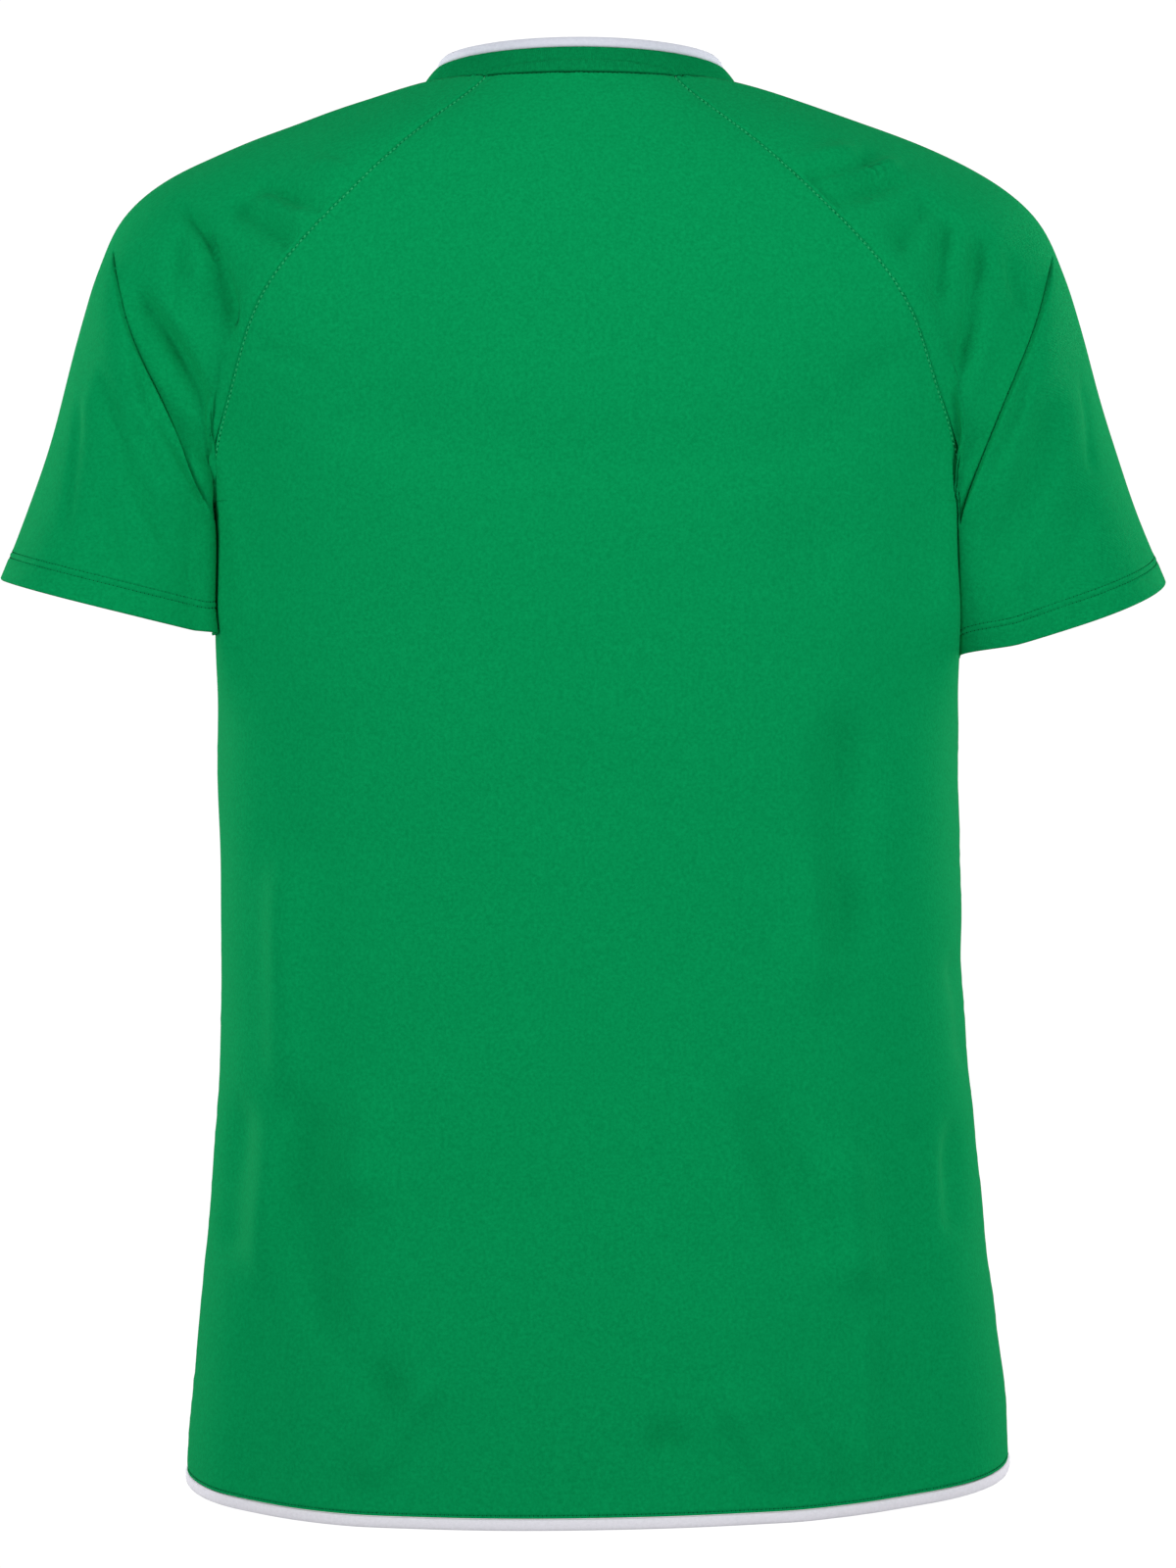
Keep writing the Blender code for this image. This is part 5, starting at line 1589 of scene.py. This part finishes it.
angles = np.linspace(0.0, 2.0 * math.pi, RIBS * POINTS_A_RIB, endpoint=False)
low, high, face, tall = collar_strip("seam", "edge_foot", angles)
corners = np.arccos(np.cos(angles)) / neck_corner(PANELS["back_panel"])
corner_share = np.clip(corners, 0.0, 1.0)
allowance = ALLOWANCE_HEIGHT * (1.0 - corner_share ** 2) ** ALLOWANCE_POWER
ribs = RIB_LIFT * np.cos(RIBS * angles)
foot = FOOT_DEPTH + FOOT_DEEPER * smooth_step(corners * FOOT_TURN - FOOT_TURN)
outer_rings, inner_rings = [], []
for share in BAND_SHARES:
    height = share * tall[:, 0]
    ends = smooth_step(share / RIB_FADE[0]) * smooth_step((1.0 - share) / RIB_FADE[1])
    crown = BAND_CROWN * 4.0 * share * (1.0 - share)
    lift = crown + ribs * (RIB_LEFT + (1.0 - RIB_LEFT) * ends)
    proud = smooth_step((allowance - height) / ALLOWANCE_EDGE + 0.5)
    lift += ALLOWANCE_LIFT * proud * (corner_share < 1.0)
    drawn_in = bell(height - allowance - ALLOWANCE_EDGE, GROOVE_WIDE)
    lift -= ALLOWANCE_GROOVE * drawn_in * (corner_share < 1.0)
    lift -= foot * bell(height, FOOT_ROLL) + TOP_DEPTH * bell(tall[:, 0] - height, TOP_ROLL)
    place = low + (high - low) * (BAND_INSET + (1.0 - 2.0 * BAND_INSET) * share)
    wall = BAND_WALL - BAND_CROWN * 2.0 * share * (1.0 - share) - ribs
    outer_rings.append(place + face * lift[:, None])
    inner_rings.append(place - face * wall[:, None])
inside = inner_rings[::-2]            # the plain inner side needs only every second ring
band = ring_object("collar_band_rib", outer_rings + inside, fabrics["rib_green"],
                   "collar_band")

# %% The white edge of the collar
EDGE_PROFILE = ((0.00, -0.0003), (0.05, 0.0003), (0.16, 0.0007), (0.40, 0.0010), (0.65, 0.0009),
                (0.84, 0.0005), (0.95, -0.0002), (1.00, -0.0011), (0.95, -0.0020), (0.82, -0.0026),
                (0.50, -0.0030), (0.15, -0.0027), (0.00, -0.0023))
EDGE_STEPS = 720

angles = np.linspace(0.0, 2.0 * math.pi, EDGE_STEPS, endpoint=False)
low, high, face, tall = collar_strip("edge_foot", "top", angles)
rings = [low + (high - low) * up + face * out for up, out in EDGE_PROFILE]
# its white is painted darker than the binding's white, as painted shade
edge = ring_object("collar_white_edge", rings, fabrics["trim_white"], "collar_edge")

# %% The white binding of the hem
BINDING_HEIGHT = 0.0056
BINDING_STEPS = 360       # round each panel
BINDING_PROFILE = ((0.00, -0.0008), (0.04, -0.0002), (0.15, 0.0002), (0.38, 0.0005), (0.64, 0.0005),
                   (0.84, 0.0002), (0.96, -0.0003), (1.00, -0.0010), (0.96, -0.0017), (0.82, -0.0022),
                   (0.45, -0.0025), (0.12, -0.0022), (0.00, -0.0016))

tops, downs, faces = [], [], []
for name, order in (("back_panel", 1), ("front_panel", -1)):
    cols = np.linspace(0.0, PANEL_STEPS, BINDING_STEPS + 1)[::order][:-1]
    bottom, values = hang(name, np.zeros(len(cols)), cols)
    above = hang(name, np.full(len(cols), 0.5), cols)[0]
    tops.append(bottom)
    downs.append(bottom - above)
    faces.append(values[:, 3:6])
top, down, face = np.concatenate(tops), np.concatenate(downs), np.concatenate(faces)
down = unit(down)
rings = [top + down * (SEAM_GAP + BINDING_HEIGHT * fall) + face * out
         for fall, out in BINDING_PROFILE]
binding = ring_object("hem_white_binding", rings, fabrics["binding_white"],
                      "hem_binding")

# %% [markdown]
# ## Stitches
#
# Topstitching holds every raglan seam flat on the panel's side, two rows hold the hem of
# each sleeve, and one row runs just above the white binding.  A stitch is a short thread
# that dips into the cloth at both ends, so each one is a small rounded capsule, bent
# along the cloth, and all the stitches of a piece are joined into one mesh.  The raglan
# thread is painted lighter than the cloth, a painted highlight, and that of the other rows
# darker, a painted shade.  Where two stitches meet, the needle leaves a hole, which is a
# small sunk dome painted nearly black: a painted shade for the shadow in the hole.

# %% Stitches along a line of rows and columns
STITCH_SIDES = 5
STITCH_RINGS = (          # place along the thread, thickness, and bend into the cloth
    (-1.0, 0.30, -0.9), (-0.72, 0.85, 0.0), (0.0, 1.0, 0.35), (0.72, 0.85, 0.0), (1.0, 0.30, -0.9))
STITCH_AHEAD = 0.3        # a stitch points to what lies this share of the pitch further on
RAGLAN_ENDS = (0.6, 0.25) # its rows leave out this much of the form at the armpit and the neck
LINES = {                 # columns that a row leaves out at both ends, and points of its line
    "neck": (0.8, 400), "hem": (0.3, 900), "collar": (0.5, 300), "cuff": (0.0, 900)}


def capsules(middle, way, up, half, radius, sink):
    """Joined capsules: points and faces of one small thread at each place."""
    aside = np.cross(up, way)
    turns = 2.0 * math.pi * np.arange(STITCH_SIDES) / STITCH_SIDES
    points = []
    for along, thick, bend in STITCH_RINGS:
        centre = middle + way * (half * along) + up * (radius * bend - sink)
        for turn in turns:
            points.append(centre + (up * math.cos(turn) + aside * math.sin(turn)) * (radius * thick))
    points = np.stack(points, axis=1)
    each = points.shape[1]
    faces = []
    for k in range(len(middle)):
        base = k * each
        for ring in range(len(STITCH_RINGS) - 1):
            for s in range(STITCH_SIDES):
                t = (s + 1) % STITCH_SIDES
                a, b = base + ring * STITCH_SIDES, base + (ring + 1) * STITCH_SIDES
                faces.append((a + s, a + t, b + t, b + s))
        last = base + each - STITCH_SIDES
        faces.append(tuple(base + s for s in reversed(range(STITCH_SIDES))))
        faces.append(tuple(last + s for s in range(STITCH_SIDES)))
    return points.reshape(-1, 3), faces


def along_cloth(name, row, col, pitch):
    """Even places along a line on the sewn cloth: middles, directions and outward."""
    line = sewn(name, row, col)
    length = run_along(line)
    at = np.arange(0.5 * pitch, length[-1] - 0.5 * pitch, pitch)

    def on_line(at):
        return np.stack([np.interp(at, length, line[:, k]) for k in range(3)], axis=1)

    middle = on_line(at)
    way = unit(on_line(at + STITCH_AHEAD * pitch) - middle)
    face = read(name, np.interp(at, length, row), np.interp(at, length, col))[:, 3:6]
    face = face - way * (face * way).sum(axis=1, keepdims=True)
    return middle, way, unit(face)


def beside_raglan(name, side, off, steps=600):
    """A line on a panel beside its raglan seam.  side is 0 or 1 for right or left."""
    rows = np.linspace(BODY_ROWS + RAGLAN_ENDS[0], BODY_ROWS + RAGLAN_STEPS - RAGLAN_ENDS[1], steps)
    across = between(lengths_along(cloth[name][0], 1), rows)
    return rows, steps_at(across, np.abs(side * across[:, -1] - off))


def along_edge(name, first, last, line, off, from_end):
    """A line from column to column, at a length from the first or the last row of a piece."""
    grid = cloth[name][0]
    margin, steps = LINES[line]
    cols = np.linspace(first + margin, last - margin, steps)
    down = between(lengths_along(closed_ring(grid) if name in SLEEVES else grid, 0).T, cols)
    return steps_at(down, down[:, -1] - off if from_end else np.full(steps, off)), cols


print("sides of a stitch:", STITCH_SIDES)

# %% Sew every row
ROW_COLUMNS = ("pitch", "long", "thick", "sink", "hole", "thread")
# thread 0 is painted lighter than the cloth as a painted highlight, thread 2 darker as a painted shade
ROW_KINDS = {
    "raglan": (0.0028, 0.0015, 0.00052, 0.00002, 0.00056, 0),
    "cuff": (0.0020, 0.0011, 0.00028, 0.00016, 0.00060, 2),
    "hem": (0.0021, 0.0011, 0.00030, 0.00012, 0.00066, 2),
    "neck": (0.0024, 0.0014, 0.00026, 0.00010, 0.00056, 2),
}
NEEDLE_HOLE_LONG = 0.00035
NEEDLE_HOLE_SUNK = 0.7    # this share of its radius
# the paints of the stitches: a painted highlight, the holes' painted shade, and a painted shade
THREADS = ("green_thread_painted_highlight", "needle_hole_painted_shade", "deep_thread_painted_shade")
# the needle holes take the painted shade, which stands second among these
NEEDLE_HOLE = 1           # place of its paint among these
NECK_ROW = 0.0011         # the stitched row beside the collar


def sew(name, rows_of_piece):
    """All stitches of one piece, and its needle holes as domes painted dark as painted shade, joined.
    """
    points, faces, paints, count = [], [], [], 0
    for kind, (row, col) in rows_of_piece:
        kind = dict(zip(ROW_COLUMNS, ROW_KINDS[kind]))
        middle, way, up = along_cloth(name, row, col, kind["pitch"])
        for shift, half, radius, sink, paint in (
                (0.0, kind["long"] / 2.0, kind["thick"], kind["sink"], kind["thread"]),
                (kind["pitch"] / 2.0, NEEDLE_HOLE_LONG, kind["hole"],
                 kind["hole"] * NEEDLE_HOLE_SUNK, NEEDLE_HOLE)):
            new_points, new_faces = capsules(middle + way * shift, way, up, half, radius, sink)
            faces += [tuple(count + k for k in face) for face in new_faces]
            paints += [paint] * len(new_faces)
            points.append(new_points)
            count += len(new_points)
    mesh = bpy.data.meshes.new(name + "_stitches")
    mesh.from_pydata(np.concatenate(points).tolist(), [], faces)
    for thread in THREADS:
        mesh.materials.append(fabrics[thread])
    mesh.polygons.foreach_set("material_index", paints)
    mesh.shade_smooth()
    piece = add_object(name + "_stitches", mesh)
    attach(piece, "root")
    print(name, "stitches have", len(faces), "faces")
    return piece


for name in PANELS:
    sew(name, [
        ("raglan", beside_raglan(name, 0, TOPSTITCH_OFF)),
        ("raglan", beside_raglan(name, 1, TOPSTITCH_OFF)),
        ("neck", along_edge(name, 0.0, PANEL_STEPS, "neck", NECK_ROW, True)),
        ("hem", along_edge(name, 0.0, PANEL_STEPS, "hem", HEM_ROW, False))])
for name in SLEEVES:
    sew(name, [
        ("cuff", along_edge(name, 0.0, len(loop), "cuff", at, True)) for at in CUFF_ROWS
    ] + [("neck", along_edge(name, RAGLAN_STEPS, RAGLAN_STEPS + NECK_STEPS, "collar",
                             NECK_ROW, False))])

# %% [markdown]
# ## The cut of each piece
#
# The size of each piece of cloth when it was cut is printed.  The frame wants to know how
# large each piece of cloth was when it was cut, so that no piece is stretched past what
# cloth allows.  A panel's cut is its widest girth by its length, a sleeve's its widest
# ring by its top line, with the area that it really has.

def declare_cut(piece, flat, area):
    print(piece.name, "cut to", flat, "m,", area, "square metres")


def area_of(grid, closed):
    if closed:
        grid = closed_ring(grid)
    a, b = grid[1:, 1:] - grid[:-1, :-1], grid[1:, :-1] - grid[:-1, 1:]
    return 0.5 * float(np.linalg.norm(np.cross(a, b), axis=2).sum())


for name, (grid, face) in cloth.items():
    print(name, "area", round(area_of(grid, name in SLEEVES), 4), "square metres",
          "width", round(float(lengths_along(grid, 1)[:, -1].max()), 4),
          "length", round(float(lengths_along(grid, 0)[-1].max()), 4))
declare_cut(pieces["back_panel"], (0.545, 0.745), 0.352)
declare_cut(pieces["front_panel"], (0.545, 0.680), 0.330)
declare_cut(pieces["sleeve_left"], (0.480, 0.365), 0.1100)
declare_cut(pieces["sleeve_right"], (0.480, 0.365), 0.1100)
declare_cut(band, (0.560, 0.014), 0.0075)
